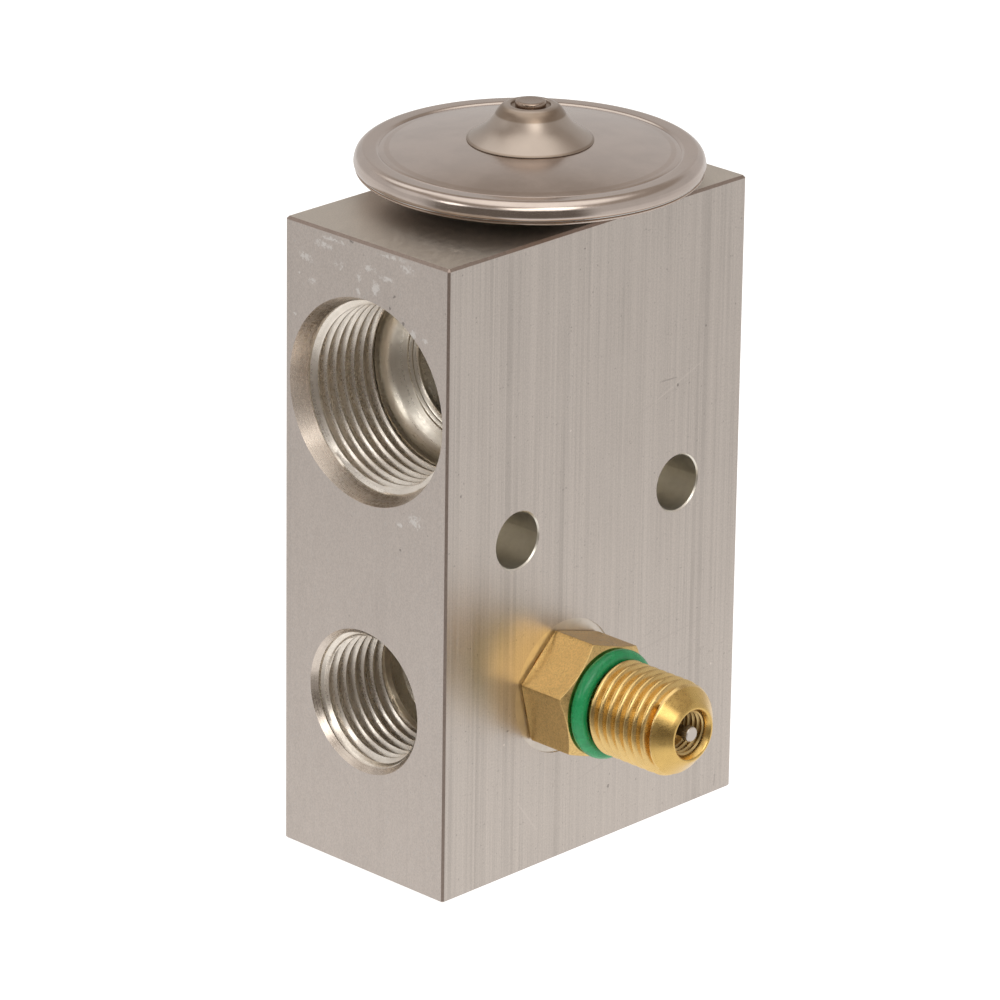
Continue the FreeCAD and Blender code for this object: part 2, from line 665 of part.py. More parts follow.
PARTS.append(coil("valve_spring", d("spring_r"), d("spring_wire"), d("spring_turns"),
                  d("screw_top"), d("carrier_z"), ax, 0.0, 0.0))

sb, ar = d("adjuster_base"), d("adjuster_r")
spigot = d("chamber_r") - 0.06
screw = turned_part("adjusting_screw", [
    (0, sb), (ar - 0.4, sb), (ar, sb + 0.4), (ar, sb + 4.2), (ar - 0.3, sb + 4.5),
    (spigot, sb + 4.5), (spigot, d("screw_top") - 2.0), (3.8, d("screw_top") - 2.0),
    (3.8, d("screw_top") - 0.4), (spigot, d("screw_top") - 0.4), (spigot, d("screw_top")),
    (1.7, d("screw_top")), (1.7, d("screw_top") + 0.8), (1.5, d("screw_top") + 1.0),
    (0, d("screw_top") + 1.0)], x=ax)
key = hexagon(new_sketch(screw, "key_socket_outline", "XY_Plane", sb), Size(5.0, "5"), 0.0)
pocketed(screw, "key_socket", key, 3.0, reverse=True)
PARTS.append(screw)
PARTS.append(ring("adjuster_seal", Size(4.5, "4.5"), Size(0.65, "0.65"), x=ax, z=d("screw_top") - 1.2))

# ------------------------------------------------------------- service port
sx, szv = d("service_x"), d("service_z")
face = -half_w
hf, ts, te = d("hex_front"), d("thread_start"), d("thread_end")
sr = d("stem_r")
fitting = new_body("service_fitting", sx, face, szv, out=True)
turned(fitting, "fitting_turned", [
    (0, -6.0), (sr - 0.4, -6.0), (sr, -5.6), (sr, -d("spot_depth")), (6.2, -d("spot_depth")), (6.2, hf),
    (d("neck_r"), hf), (d("neck_r"), ts), (d("thread_r") - 0.5, ts), (d("thread_r"), ts + 0.5),
    (d("thread_r"), te - 0.4), (d("nose_r") + 0.05, te), (d("nose_r") + 0.05, d("nose_base") - 0.1),
    (d("nose_r"), d("nose_base")), (3.25, d("nose_tip") - 0.05, 0.3), (3.0, d("nose_tip")),
    (0, d("nose_tip"))])
nut = hexagon(new_sketch(fitting, "hexagon_outline", "XY_Plane", -d("spot_depth")),
              d("hex_flats"), d("hex_turn"))
padded(fitting, "hexagon", nut, hf + d("spot_depth"))
turned_cut(fitting, "hexagon_front_chamfer", [
    (6.25, hf + 0.5), (6.25, hf), (7.8, hf - 0.52), (9.0, hf - 0.52), (9.0, hf + 0.5)])
turned_cut(fitting, "core_bore", [
    (0, d("nose_tip") + 1), (3.0, d("nose_tip") + 1), (3.0, d("nose_tip")),
    (d("mouth_r"), d("nose_tip") - 0.3), (d("mouth_r"), 13.4), (2.05, 12.8), (2.05, 5.5),
    (1.5, 4.9), (1.5, -7.0), (0, -7.0)])
PARTS.append(fitting)
PARTS.append(ring("fitting_seal", Size(5.48, "5.48"), Size(0.7, "0.7"), sx, face, szv, out=True))
doc.recompute()
# the seal sits in its recess just under the hexagon
seal = PARTS[-1]
seal.setExpression("Placement.Base.y", (face + d("spot_depth") + 0.72).text)
PARTS.append(ring("cap_seal", Size(5.52, "5.52"), Size(0.9, "0.9"), sx, face - hf - 0.9, szv, out=True))

core_plug = new_body("core_plug", sx, face, szv, out=True)
turned(core_plug, "core_plug_turned", [
    (0.85, 14.4), (2.2, 14.4), (2.5, 14.7), (2.5, 16.2), (2.2, 16.9), (0.85, 16.9)])
for side, name in ((1, "a"), (-1, "b")):
    flat = outline(new_sketch(core_plug, "key_flat_outline_" + name, "XY_Plane", Size(17.0, "17")), [
        (side * 1.25, -3.0), (side * 3.0, -3.0), (side * 3.0, 3.0), (side * 1.25, 3.0)])
    pocketed(core_plug, "key_flat_" + name, flat, 1.0)
PARTS.append(core_plug)
PARTS.append(turned_part("core_barrel", [
    (0.75, 9.0), (1.45, 9.0), (1.75, 9.3), (1.75, 12.6), (1.6, 12.7), (1.6, 13.9),
    (1.9, 14.0), (1.9, 14.4), (1.2, 14.4), (1.2, 9.9), (0.75, 9.9)], sx, face, szv, out=True))
PARTS.append(turned_part("core_seal", [
    (1.6, 12.75), (2.0, 12.75), (2.1, 12.9), (2.5, 13.4), (2.5, 13.85), (1.6, 13.85)],
    sx, face, szv, out=True))
cp = d("core_pin_r")
PARTS.append(turned_part("core_pin", [
    (0, 7.2), (cp - 0.15, 7.2), (cp, 7.35), (cp, 13.9), (1.0, 13.9), (1.0, 14.3), (cp, 14.3),
    (cp, 18.6), (d("core_head_r"), 18.75), (d("core_head_r"), 19.47), (d("core_head_r") - 0.1, 19.57),
    (0, 19.57)], sx, face, szv, out=True))
PARTS.append(turned_part("core_cup", [
    (cp, 7.6), (1.45, 7.6), (1.6, 7.8), (1.6, 8.6), (1.3, 8.9), (cp, 8.9)], sx, face, szv, out=True))
PARTS.append(coil("core_spring", Size(0.92, "0.92"), Size(0.12, "0.12"), Size(7.0, "7"),
                  Size(9.9, "9.9"), Size(13.9, "13.9"), sx, face, szv, out=True))

# ------------------------------------------------------------------- checks
doc.recompute()
faults = []
for obj in doc.Objects:
    for word in obj.State:
        if word in ("Invalid", "Error"):
            faults.append("%s is %s" % (obj.Name, word))
names = set()
for obj in PARTS:
    shape = obj.Shape
    if shape.isNull() or not shape.isValid() or not shape.Solids:
        faults.append("%s has no valid solid" % obj.Label)
    if obj.Label in names:
        faults.append("%s is named twice" % obj.Label)
    names.add(obj.Label)
if faults:
    raise RuntimeError("; ".join(faults))

os.makedirs("parts", exist_ok=True)
total = 0.0
for obj in PARTS:
    shape = obj.Shape
    box = shape.BoundBox
    total += shape.Volume
    print("%-18s %9.2f mm3  solids %d  x %.2f..%.2f  y %.2f..%.2f  z %.2f..%.2f" % (
        obj.Label, shape.Volume, len(shape.Solids), box.XMin, box.XMax, box.YMin, box.YMax,
        box.ZMin, box.ZMax))
    shape.exportStep("parts/%s.step" % obj.Label)
print("pieces %d, volume %.1f mm3" % (len(PARTS), total))
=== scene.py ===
import math
import bpy
from mathutils import Matrix, Vector


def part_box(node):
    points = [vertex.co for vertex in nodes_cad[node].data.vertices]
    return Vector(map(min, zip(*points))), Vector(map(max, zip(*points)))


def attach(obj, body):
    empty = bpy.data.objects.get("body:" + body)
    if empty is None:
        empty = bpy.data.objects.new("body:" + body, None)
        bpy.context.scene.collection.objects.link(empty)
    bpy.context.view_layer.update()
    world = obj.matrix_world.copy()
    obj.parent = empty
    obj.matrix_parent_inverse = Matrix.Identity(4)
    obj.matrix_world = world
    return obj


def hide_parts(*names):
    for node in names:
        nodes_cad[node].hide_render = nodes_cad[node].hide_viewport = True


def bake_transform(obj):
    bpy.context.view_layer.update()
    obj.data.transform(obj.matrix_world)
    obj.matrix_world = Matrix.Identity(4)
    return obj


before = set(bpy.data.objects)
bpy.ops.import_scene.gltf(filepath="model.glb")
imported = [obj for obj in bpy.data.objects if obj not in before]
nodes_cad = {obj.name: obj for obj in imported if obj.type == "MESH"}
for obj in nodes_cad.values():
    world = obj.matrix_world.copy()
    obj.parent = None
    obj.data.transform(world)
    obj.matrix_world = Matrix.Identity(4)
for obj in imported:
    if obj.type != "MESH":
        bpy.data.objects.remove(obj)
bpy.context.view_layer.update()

MM = 0.001
TAU = 2.0 * math.pi
scene = bpy.context.scene

# the valve's own axis and the service fitting's axis, in millimetres
AX = 1.75
FX, FY, FZ = -4.6, -12.7, 20.85
HALF_L, HALF_W, TOP = 23.75, 12.7, 74.75


# ------------------------------------------------------------------ node trees
def lin(r, g, b):
    """Display colour, 0 to 255, as linear light."""
    out = []
    for v in (r, g, b):
        v /= 255.0
        out.append(v / 12.92 if v <= 0.04045 else ((v + 0.055) / 1.055) ** 2.4)
    return (out[0], out[1], out[2], 1.0)


class Tree:
    """A small helper that builds a node tree line by line."""

    def __init__(self, tree):
        self.tree = tree
        tree.nodes.clear()

    def put(self, socket, value):
        if value is None:
            return
        if isinstance(value, bpy.types.NodeSocket):
            self.tree.links.new(value, socket)
        elif hasattr(socket, "default_value"):
            if isinstance(value, (tuple, list)) and len(value) == 3 and len(socket.default_value) == 4:
                value = (*value, 1.0)
            socket.default_value = value

    def node(self, kind, props=None, **inputs):
        n = self.tree.nodes.new(kind)
        for k, v in (props or {}).items():
            setattr(n, k, v)
        for k, v in inputs.items():
            self.put(n.inputs[k.replace("_", " ")], v)
        return n

    def point(self, scale=(1, 1, 1), offset=(0, 0, 0), turn=(0, 0, 0)):
        """Object coordinates in millimetres, stretched by scale."""
        c = self.node("ShaderNodeTexCoord")
        m = self.node("ShaderNodeMapping")
        self.put(m.inputs["Vector"], c.outputs["Object"])
        m.inputs["Scale"].default_value = tuple(1000.0 * s for s in scale)
        m.inputs["Location"].default_value = offset
        m.inputs["Rotation"].default_value = turn
        return m.outputs["Vector"]

    def noise(self, at, scale=1.0, detail=2.0, rough=0.5, warp=0.0):
        n = self.node("ShaderNodeTexNoise")
        self.put(n.inputs["Vector"], at)
        n.inputs["Scale"].default_value = scale
        n.inputs["Detail"].default_value = detail
        n.inputs["Roughness"].default_value = rough
        n.inputs["Distortion"].default_value = warp
        return n.outputs["Fac"]

    def cells(self, at, scale=1.0, feature="F1"):
        n = self.node("ShaderNodeTexVoronoi", {"feature": feature})
        self.put(n.inputs["Vector"], at)
        n.inputs["Scale"].default_value = scale
        return n.outputs["Distance"]

    def math(self, op, a, b=None, c=None, clamp=False):
        n = self.node("ShaderNodeMath", {"operation": op, "use_clamp": clamp})
        self.put(n.inputs[0], a)
        if b is not None:
            self.put(n.inputs[1], b)
        if c is not None:
            self.put(n.inputs[2], c)
        return n.outputs[0]

    def span(self, v, lo, hi, to_lo=0.0, to_hi=1.0, smooth=True):
        n = self.node("ShaderNodeMapRange", {"interpolation_type": "SMOOTHSTEP" if smooth else "LINEAR"})
        self.put(n.inputs["Value"], v)
        for k, x in (("From Min", lo), ("From Max", hi), ("To Min", to_lo), ("To Max", to_hi)):
            self.put(n.inputs[k], x)
        return n.outputs["Result"]

    def mix(self, f, a, b, mode="MIX"):
        n = self.node("ShaderNodeMix", {"data_type": "RGBA", "blend_type": mode})
        self.put(n.inputs["Factor"], f)
        self.put(n.inputs["A"] if "A" in n.inputs else n.inputs[6], None)
        self.put(n.inputs[6], a)
        self.put(n.inputs[7], b)
        return n.outputs[2]

    def xyz(self, at):
        n = self.node("ShaderNodeSeparateXYZ")
        self.put(n.inputs[0], at)
        return n.outputs[0], n.outputs[1], n.outputs[2]

    def near(self, at, centre, radii):
        """1 at the centre of an ellipsoid in millimetres, falling to 0 at its surface."""
        m = self.node("ShaderNodeMapping")
        self.put(m.inputs["Vector"], at)
        m.inputs["Location"].default_value = tuple(-c / r for c, r in zip(centre, radii))
        m.inputs["Scale"].default_value = tuple(1.0 / r for r in radii)
        n = self.node("ShaderNodeVectorMath", {"operation": "LENGTH"})
        self.put(n.inputs[0], m.outputs["Vector"])
        return self.span(n.outputs["Value"], 1.0, 0.0)

    def blot(self, at, centre, radii, grain, cut=0.5):
        """A spot with a ragged edge: an ellipsoid broken up by grain, a noise value."""
        ragged = self.math("MULTIPLY_ADD", grain, 3.6, -1.8)
        return self.span(self.math("ADD", self.near(at, centre, radii), ragged), cut, cut + 0.45)

    def stroke(self, at, start, end, width):
        """1 on the line from start to end in millimetres, falling to 0 at width from it."""
        d = Vector(end) - Vector(start)
        off = self.node("ShaderNodeVectorMath", {"operation": "SUBTRACT"})
        self.put(off.inputs[0], at)
        off.inputs[1].default_value = start
        dot = self.node("ShaderNodeVectorMath", {"operation": "DOT_PRODUCT"})
        self.put(dot.inputs[0], off.outputs["Vector"])
        dot.inputs[1].default_value = tuple(d / d.length_squared)
        along = self.math("MULTIPLY", dot.outputs["Value"], 1.0, clamp=True)
        step = self.node("ShaderNodeVectorMath", {"operation": "SCALE"})
        step.inputs[0].default_value = tuple(d)
        self.put(step.inputs["Scale"], along)
        gap = self.node("ShaderNodeVectorMath", {"operation": "DISTANCE"})
        self.put(gap.inputs[0], off.outputs["Vector"])
        self.put(gap.inputs[1], step.outputs["Vector"])
        return self.span(gap.outputs["Value"], width, width * 0.25)

    def grey(self, value):
        n = self.node("ShaderNodeCombineColor")
        for i in range(3):
            self.put(n.inputs[i], value)
        return n.outputs[0]

    def most(self, values):
        out = values[0]
        for v in values[1:]:
            out = self.math("MAXIMUM", out, v)
        return out

    def bump(self, height, strength, distance, normal=None):
        n = self.node("ShaderNodeBump")
        self.put(n.inputs["Height"], height)
        n.inputs["Strength"].default_value = strength
        n.inputs["Distance"].default_value = distance * MM
        self.put(n.inputs["Normal"], normal)
        return n.outputs["Normal"]


def material(name):
    mat = bpy.data.materials.new(name)
    mat.use_nodes = True
    t = Tree(mat.node_tree)
    out = t.node("ShaderNodeOutputMaterial")
    bsdf = t.node("ShaderNodeBsdfPrincipled")
    t.tree.links.new(bsdf.outputs[0], out.inputs["Surface"])
    return mat, t, bsdf


def finish_metal(t, bsdf, colour, rough, normal=None, metallic=1.0):
    t.put(bsdf.inputs["Base Color"], colour)
    t.put(bsdf.inputs["Metallic"], metallic)
    t.put(bsdf.inputs["Roughness"], rough)
    if normal is not None:
        t.put(bsdf.inputs["Normal"], normal)


# -------------------------------------------------------------------- finishes
def shade(base, k):
    return tuple(c * k for c in base[:3])


def make_block_side(name, base, lines, seed, rough_mid, contrast=1.0, specks=0.5, marks=None, texture=1.0):
    """Drawn aluminium: fine lines along Z, a few darker ones, specks and small knocks.

    lines is the stretch of the drawing lines; marks adds light scuffs and dark scratches.
    """
    mat, t, bsdf = material(name)
    at = t.point()
    fine = t.noise(t.point(lines, (seed, 0, 0)), 2.4, 4.0, 0.6)
    wide = t.noise(t.point((lines[0] * 0.35, lines[1] * 0.35, lines[2] * 0.6), (seed, 7, 2)), 2.4, 3.0, 0.55)
    broad = t.noise(t.point((lines[0] * 0.3, lines[1] * 0.3, 0.006), (seed * 2, 3, 0)), 1.0, 3.0, 0.6)
    mottle = t.noise(t.point((1, 1, 0.6), (seed, 5, 1)), 0.16, 3.0, 0.55)
    grain = t.noise(t.point((1, 1, 0.7), (0, seed, 2)), 6.5, 3.0, 0.65)
    colour = t.mix(t.span(fine, 0.32, 0.68), shade(base, 1 - 0.075 * contrast), shade(base, 1 + 0.055 * contrast))
    drawn = t.span(wide, 0.30, 0.70, 1 - 0.05 * contrast, 1 + 0.05 * contrast)
    colour = t.mix(1.0, colour, t.grey(drawn), "MULTIPLY")
    colour = t.mix(t.math("MULTIPLY", t.span(broad, 0.43, 0.33), 0.6 * contrast), colour, shade(base, 0.80))
    colour = t.mix(t.math("MULTIPLY", t.span(broad, 0.57, 0.68), 0.5 * contrast), colour, shade(base, 1.10))
    colour = t.mix(t.span(mottle, 0.35, 0.7, 0.0, 0.35), colour, shade(base, 1.06))
    speckle = t.span(grain, 0.34, 0.66, 0.955 - 0.045 * texture, 1.01 + 0.045 * texture)
    colour = t.mix(1.0, colour, t.grey(speckle), "MULTIPLY")
    speck = t.span(t.cells(t.point((1, 1, 0.8), (seed, 1, 0)), 0.62), 0.085, 0.045)
    pick = t.span(t.noise(t.point((1, 1, 1), (3, seed, 0)), 0.5, 1.0), 0.54, 0.6)
    colour = t.mix(t.math("MULTIPLY", t.math("MULTIPLY", speck, pick), specks), colour, shade(base, 0.45))
    chip = t.span(t.cells(t.point((1, 1, 1), (seed, 8, 3)), 0.34), 0.060, 0.035)
    chosen = t.span(t.noise(t.point((1, 1, 1), (6, seed, 4)), 0.4, 1.0), 0.58, 0.62)
    colour = t.mix(t.math("MULTIPLY", t.math("MULTIPLY", chip, chosen), specks), colour, shade(base, 1.5))
    rough = t.span(fine, 0.3, 0.7, rough_mid - 0.04, rough_mid + 0.05)
    rough = t.math("ADD", rough, t.span(grain, 0.3, 0.7, -0.03, 0.03))
    height = t.math("ADD", t.math("MULTIPLY", fine, 0.6), t.math("MULTIPLY", grain, 0.5))
    if marks:
        ragged = t.noise(t.point((1, 1, 1), (seed, 2, 9)), 2.0, 5.0, 0.75)
        for spots, tone, share in ((marks.get("light"), lin(224, 220, 216), 0.8), (marks.get("dark"), shade(base, 0.42), 0.8)):
            if spots:
                found = t.most([t.blot(at, c, r, ragged, cut) for c, r, cut in spots])
                colour = t.mix(t.math("MULTIPLY", found, share), colour, tone)
        for cuts, tone in ((marks.get("scratch"), 0.55), (marks.get("rub"), 0.84), (marks.get("shine"), 1.22)):
            if cuts:
                found = t.most([t.math("MULTIPLY", t.stroke(at, a, b, w), k) for a, b, w, k in cuts])
                broken = t.span(ragged, 0.30, 0.55, 0.25, 1.0)
                colour = t.mix(t.math("MULTIPLY", found, broken), colour, shade(base, tone))
                height = t.math("SUBTRACT", height, t.math("MULTIPLY", found, 0.5))
    finish_metal(t, bsdf, colour, rough, t.bump(height, 0.35, 0.02))
    return mat


BLOCK = lin(197, 188.5, 181)
Y0, X0 = -HALF_W, -HALF_L
front_marks = {
    "dark": [((13.1, Y0, 52.3), (0.30, 1, 0.35), 0.4), ((6.9, Y0, 22.2), (0.28, 1, 0.3), 0.4), ((7.2, Y0, 21.5), (0.25, 1, 0.3), 0.4),
             ((-13.4, Y0, 17.9), (0.8, 1, 0.22), 0.4), ((-21.5, Y0, 48.1), (0.35, 1, 0.4), 0.45), ((3.0, Y0, 6.2), (0.4, 1, 0.5), 0.45),
             ((-2.5, Y0, 72.2), (0.2, 1, 0.2), 0.4), ((17.6, Y0, 58.3), (0.28, 1, 0.3), 0.4)],
    "scratch": [((10.2, Y0, 53.4), (12.9, Y0, 53.3), 0.13, 0.55), ((20.9, Y0, 0.9), (21.0, Y0, 2.2), 0.14, 0.6)],
    "rub": [((7.9, Y0, 21.6), (18.2, Y0, 22.6), 0.14, 0.5), ((13.6, Y0, 18.0), (18.6, Y0, 19.0), 0.13, 0.45),
            ((8.4, Y0, 23.0), (13.5, Y0, 24.6), 0.10, 0.4), ((6.3, Y0, 50.4), (16.9, Y0, 53.0), 0.15, 0.3),
            ((-2.0, Y0, 8.6), (3.0, Y0, 9.7), 0.14, 0.45), ((-17.6, Y0, 48.4), (-12.0, Y0, 49.1), 0.10, 0.35)],
    "shine": [((9.4, Y0, 51.2), (17.2, Y0, 54.2), 0.16, 0.35), ((-11.9, Y0, 8.6), (-8.8, Y0, 4.4), 0.16, 0.35)],
}
end_marks = {
    "light": [((X0, -1.4, 69.7), (1, 1.3, 1.7), 0.42), ((X0, -3.1, 71.4), (1, 2.2, 0.7), 0.55), ((X0, 1.0, 70.6), (1, 0.8, 1.2), 0.55),
              ((X0, 1.2, 68.8), (1, 0.8, 1.3), 0.57), ((X0, -6.4, 73.2), (1, 2.6, 0.9), 0.52), ((X0, 9.4, 70.8), (1, 2.3, 1.0), 0.52),
              ((X0, 10.5, 68.7), (1, 0.4, 0.35), 0.30), ((X0, 11.1, 63.7), (1, 0.4, 0.35), 0.30), ((X0, 6.6, 72.9), (1, 2.8, 0.9), 0.56),
              ((X0, -7.3, 66.0), (1, 1.0, 1.2), 0.52), ((X0, -9.2, 65.8), (1, 0.8, 1.0), 0.58), ((X0, -4.0, 74.0), (1, 4.5, 0.55), 0.58),
              ((X0, 5.0, 73.8), (1, 4.0, 0.6), 0.60), ((X0, 4.0, 71.0), (1, 2.2, 1.2), 0.72), ((X0, -0.5, 71.9), (1, 2.6, 1.0), 0.68),
              ((X0, -5.5, 43.3), (1, 0.8, 0.5), 0.52), ((X0, -8.0, 44.2), (1, 3.2, 2.0), 0.74), ((X0, 8.4, 68.2), (1, 1.8, 0.9), 0.72)],
    "dark": [((X0, 2.3, 74.3), (1, 0.7, 0.3), 0.40), ((X0, -4.4, 69.6), (1, 0.6, 0.4), 0.42), ((X0, -3.7, 68.1), (1, 0.35, 0.35), 0.42),
             ((X0, -5.8, 66.9), (1, 0.35, 0.35), 0.42), ((X0, -6.2, 44.9), (1, 0.3, 0.3), 0.42), ((X0, -5.6, 40.4), (1, 0.25, 0.25), 0.45)],
    "rub": [((X0, -7.0, 1.0), (X0, -7.1, 12.0), 0.12, 0.30)],
}
front_mat = make_block_side("block_drawn", BLOCK, (3.0, 3.0, 0.014), 1.3, 0.38, 1.0, 0.5, front_marks)
end_mat = make_block_side("block_end", lin(197, 188, 181), (1.6, 1.6, 0.30), 7.1, 0.40, 0.35, 0.45, end_marks, 1.3)
top_mat = make_block_side("block_top", lin(207, 199, 189), (0.5, 0.8, 0.5), 4.4, 0.50, 0.3, 0.10)


def make_bore(name, base, rough_mid, ringed, dotted=0.15):
    """Bored or threaded aluminium: fine rings across the tool's path."""
    mat, t, bsdf = material(name)
    rings = t.noise(t.point((5.0, 0.02, 0.02), (2, 0, 0)), 2.0, 3.0, 0.6)
    patch = t.noise(t.point((1, 1, 1), (9, 0, 0)), 0.5, 3.0, 0.6)
    dots = t.noise(t.point((1, 1, 1), (2, 4, 0)), 3.0, 3.0, 0.6)
    colour = t.mix(t.span(patch, 0.3, 0.7), shade(base, 0.93), shade(base, 1.04))
    colour = t.mix(t.span(dots, 0.62, 0.75, 0.0, dotted), colour, shade(base, 0.75))
    rough = t.math("ADD", t.span(rings, 0.3, 0.7, rough_mid - 0.04, rough_mid + 0.06), t.span(dots, 0.4, 0.7, -0.02, 0.06))
    height = t.math("ADD", t.math("MULTIPLY", rings, 0.7), t.math("MULTIPLY", dots, 0.3))
    finish_metal(t, bsdf, colour, rough, t.bump(height, 0.8, ringed))
    return mat


bore_mat = make_bore("block_bored", lin(238, 231, 218), 0.31, 0.005, 0.06)
hole_mat = make_bore("block_drilled", lin(244, 239, 228), 0.36, 0.016)
chamfer_mat = make_bore("block_chamfer", lin(220, 209, 198), 0.27, 0.005, 0.06)
thread_mat = make_bore("block_threaded", lin(238, 230, 219), 0.29, 0.005, 0.06)
# the chamfered edges in a darker aluminium than the faces: painted shade along the block's edges
shaded_edge_mat = make_block_side("block_edges_painted_shade", lin(170, 155, 146), (1.5, 1.5, 1.5), 2.2, 0.42, 0.5, 0.2)
spot_mat = make_bore("block_spot_face", lin(208, 200, 190), 0.36, 0.004)


def make_steel(name, base, rough_mid, grain_scale=3.0, tint=None):
    """Pressed or turned steel; tint is (colour, list of (centre, radii, strength)) for heat marks and for painted
    shade.
    """
    mat, t, bsdf = material(name)
    grain = t.noise(t.point((1, 1, 1), (1, 2, 3)), grain_scale, 3.0, 0.6)
    patch = t.noise(t.point((1, 1, 1), (5, 2, 3)), 0.22, 3.0, 0.55)
    colour = t.mix(t.span(patch, 0.3, 0.7), shade(base, 0.93), shade(base, 1.04))
    if tint:
        hue, zones = tint
        _, _, pz = t.xyz(t.point())
        found = t.most([t.math("MULTIPLY", t.math("MULTIPLY", t.span(pz, lo - soft, lo), t.span(pz, hi + soft, hi)), k)
                        for lo, hi, soft, k in zones])
        found = t.math("MULTIPLY", found, t.span(patch, 0.3, 0.65, 0.65, 1.0))
        colour = t.mix(found, colour, hue)
    rough = t.math("ADD", t.span(patch, 0.3, 0.7, rough_mid - 0.02, rough_mid + 0.03), t.span(grain, 0.3, 0.7, -0.015, 0.02))
    finish_metal(t, bsdf, colour, rough, t.bump(grain, 0.10, 0.008))
    return mat


# tint zones: heat tint along the welded seam, then painted shade: brown over the lower cover's underside beneath the
# rim, and a faint brown on the flat top of the rim
cover_mat = make_steel("element_cover", lin(202, 189, 180), 0.185,
                       tint=(lin(150, 118, 88), [(77.62, 77.95, 0.12, 0.75), (76.0, 77.2, 0.3, 0.45), (79.80, 79.86, 0.04, 0.18)]))
# tint zones: a brown line at the welded joint round the hub's foot, then a brown band high on the hub's cone that is
# painted shade
hub_mat = make_steel("element_hub", lin(184, 171, 160), 0.33,
                     tint=(lin(128, 106, 84), [(80.80, 81.10, 0.12, 0.55), (84.05, 84.8, 0.22, 0.66)]))
plug_mat = make_steel("element_plug", lin(168, 150, 136), 0.24)
steel_mat = make_steel("plain_steel", lin(190, 188, 186), 0.25)
bright_mat = make_steel("bright_steel", lin(205, 203, 200), 0.12)


def make_brass(name, base, rough_mid, grain=0.18, mottled=0.03):
    """Turned or drawn brass, dulled a little in patches."""
    mat, t, bsdf = material(name)
    fine = t.noise(t.point((1, 1, 1), (0, 0, 4)), 4.5, 4.0, 0.65)
    patch = t.noise(t.point((1, 1, 1), (8, 0, 4)), 0.8, 4.0, 0.65)
    dull = t.noise(t.point((1, 1, 1), (3, 7, 4)), 2.2, 4.0, 0.7)
    colour = t.mix(t.span(patch, 0.3, 0.7), shade(base, 0.92), shade(base, 1.04))
    colour = t.mix(t.span(dull, 0.58, 0.72, 0.0, 0.45), colour, (base[0] * 0.62, base[1] * 0.56, base[2] * 0.52))
    colour = t.mix(1.0, colour, t.grey(t.span(fine, 0.34, 0.66, 1 - mottled, 1 + 0.6 * mottled)), "MULTIPLY")
    rough = t.math("ADD", t.span(patch, 0.3, 0.7, rough_mid - 0.03, rough_mid + 0.05), t.span(fine, 0.3, 0.7, -0.03, 0.04))
    finish_metal(t, bsdf, colour, rough, t.bump(t.math("ADD", t.math("MULTIPLY", fine, 0.6), t.math("MULTIPLY", dull, 0.3)), grain, 0.010))
    return mat


brass_mat = make_brass("turned_brass", lin(224, 188, 115), 0.27, 0.07)
hex_mat = make_brass("drawn_brass", lin(226, 192, 128), 0.31, 0.45, 0.17)
groove_mat = make_brass("cut_brass", lin(232, 199, 134), 0.27, 0.07)
# the pin's shaft behind its head: a much darker steel than the head's, painted shade inside the mouth
shaded_shaft_mat = make_steel("pin_stem_painted_shade", lin(120, 108, 92), 0.40)
mouth_mat = make_brass("bored_brass", lin(214, 186, 130), 0.32, 0.07)
pin_mat = make_steel("plated_pin", lin(206, 198, 190), 0.42)


def make_rubber(name, base, rough_mid):
    mat, t, bsdf = material(name)
    patch = t.noise(t.point((1, 1, 1), (2, 6, 0)), 0.9, 2.0, 0.5)
    colour = t.mix(t.span(patch, 0.3, 0.7), tuple(c * 0.9 for c in base[:3]), tuple(c * 1.1 for c in base[:3]))
    finish_metal(t, bsdf, colour, t.span(patch, 0.3, 0.7, rough_mid - 0.04, rough_mid + 0.04), metallic=0.0)
    return mat


green_mat = make_rubber("green_rubber", lin(30, 142, 84), 0.26)
black_mat = make_rubber("black_rubber", lin(28, 28, 28), 0.4)
alu_mat = make_steel("turned_aluminium", lin(206, 203, 198), 0.3)


# --------------------------------------------------------------------- meshes
def add_mesh(name, verts, faces, mat, body="valve_body", crease=32.0, mats=None, index=None):
    """A mesh from millimetre points.  Edges sharper than crease stay crisp."""
    mesh = bpy.data.meshes.new(name)
    mesh.from_pydata([(x * MM, y * MM, z * MM) for x, y, z in verts], [], faces)
    mesh.validate()
    for m in mats or [mat]:
        mesh.materials.append(m)
    if index:
        for poly, i in zip(mesh.polygons, index):
            poly.material_index = i
    mesh.shade_smooth()
    mesh.set_sharp_from_angle(angle=math.radians(crease))
    obj = bpy.data.objects.new(name, mesh)
    scene.collection.objects.link(obj)
    if body:
        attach(obj, body)
    return obj


def upright(r, a, z):
    """Cylinder coordinates round the valve's own axis."""
    return (AX + r * math.cos(a), r * math.sin(a), z)


def outward(r, a, z):
    """Cylinder coordinates round the service fitting's axis, z out of the block."""
    return (FX + r * math.cos(a), FY - z, FZ + r * math.sin(a))


def lathe(profile, place, n=192, close=False):
    """Vertices and faces of a turned shape; a radius of 0 makes a pole."""
    verts, rows = [], []
    for r, z in profile:
        if r == 0.0:
            verts.append(place(0.0, 0.0, z))
            rows.append([len(verts) - 1] * n)
        else:
            start = len(verts)
            for i in range(n):
                verts.append(place(r, TAU * i / n, z))
            rows.append(list(range(start, start + n)))
    faces = []
    pairs = list(zip(rows, rows[1:]))
    if close:
        pairs.append((rows[-1], rows[0]))
    for a, b in pairs:
        for i in range(n):
            j = (i + 1) % n
            quad = [a[i], a[j], b[j], b[i]]
            face = []
            for v in quad:
                if v not in face:
                    face.append(v)
            if len(face) > 2:
                faces.append(face)
    return verts, faces


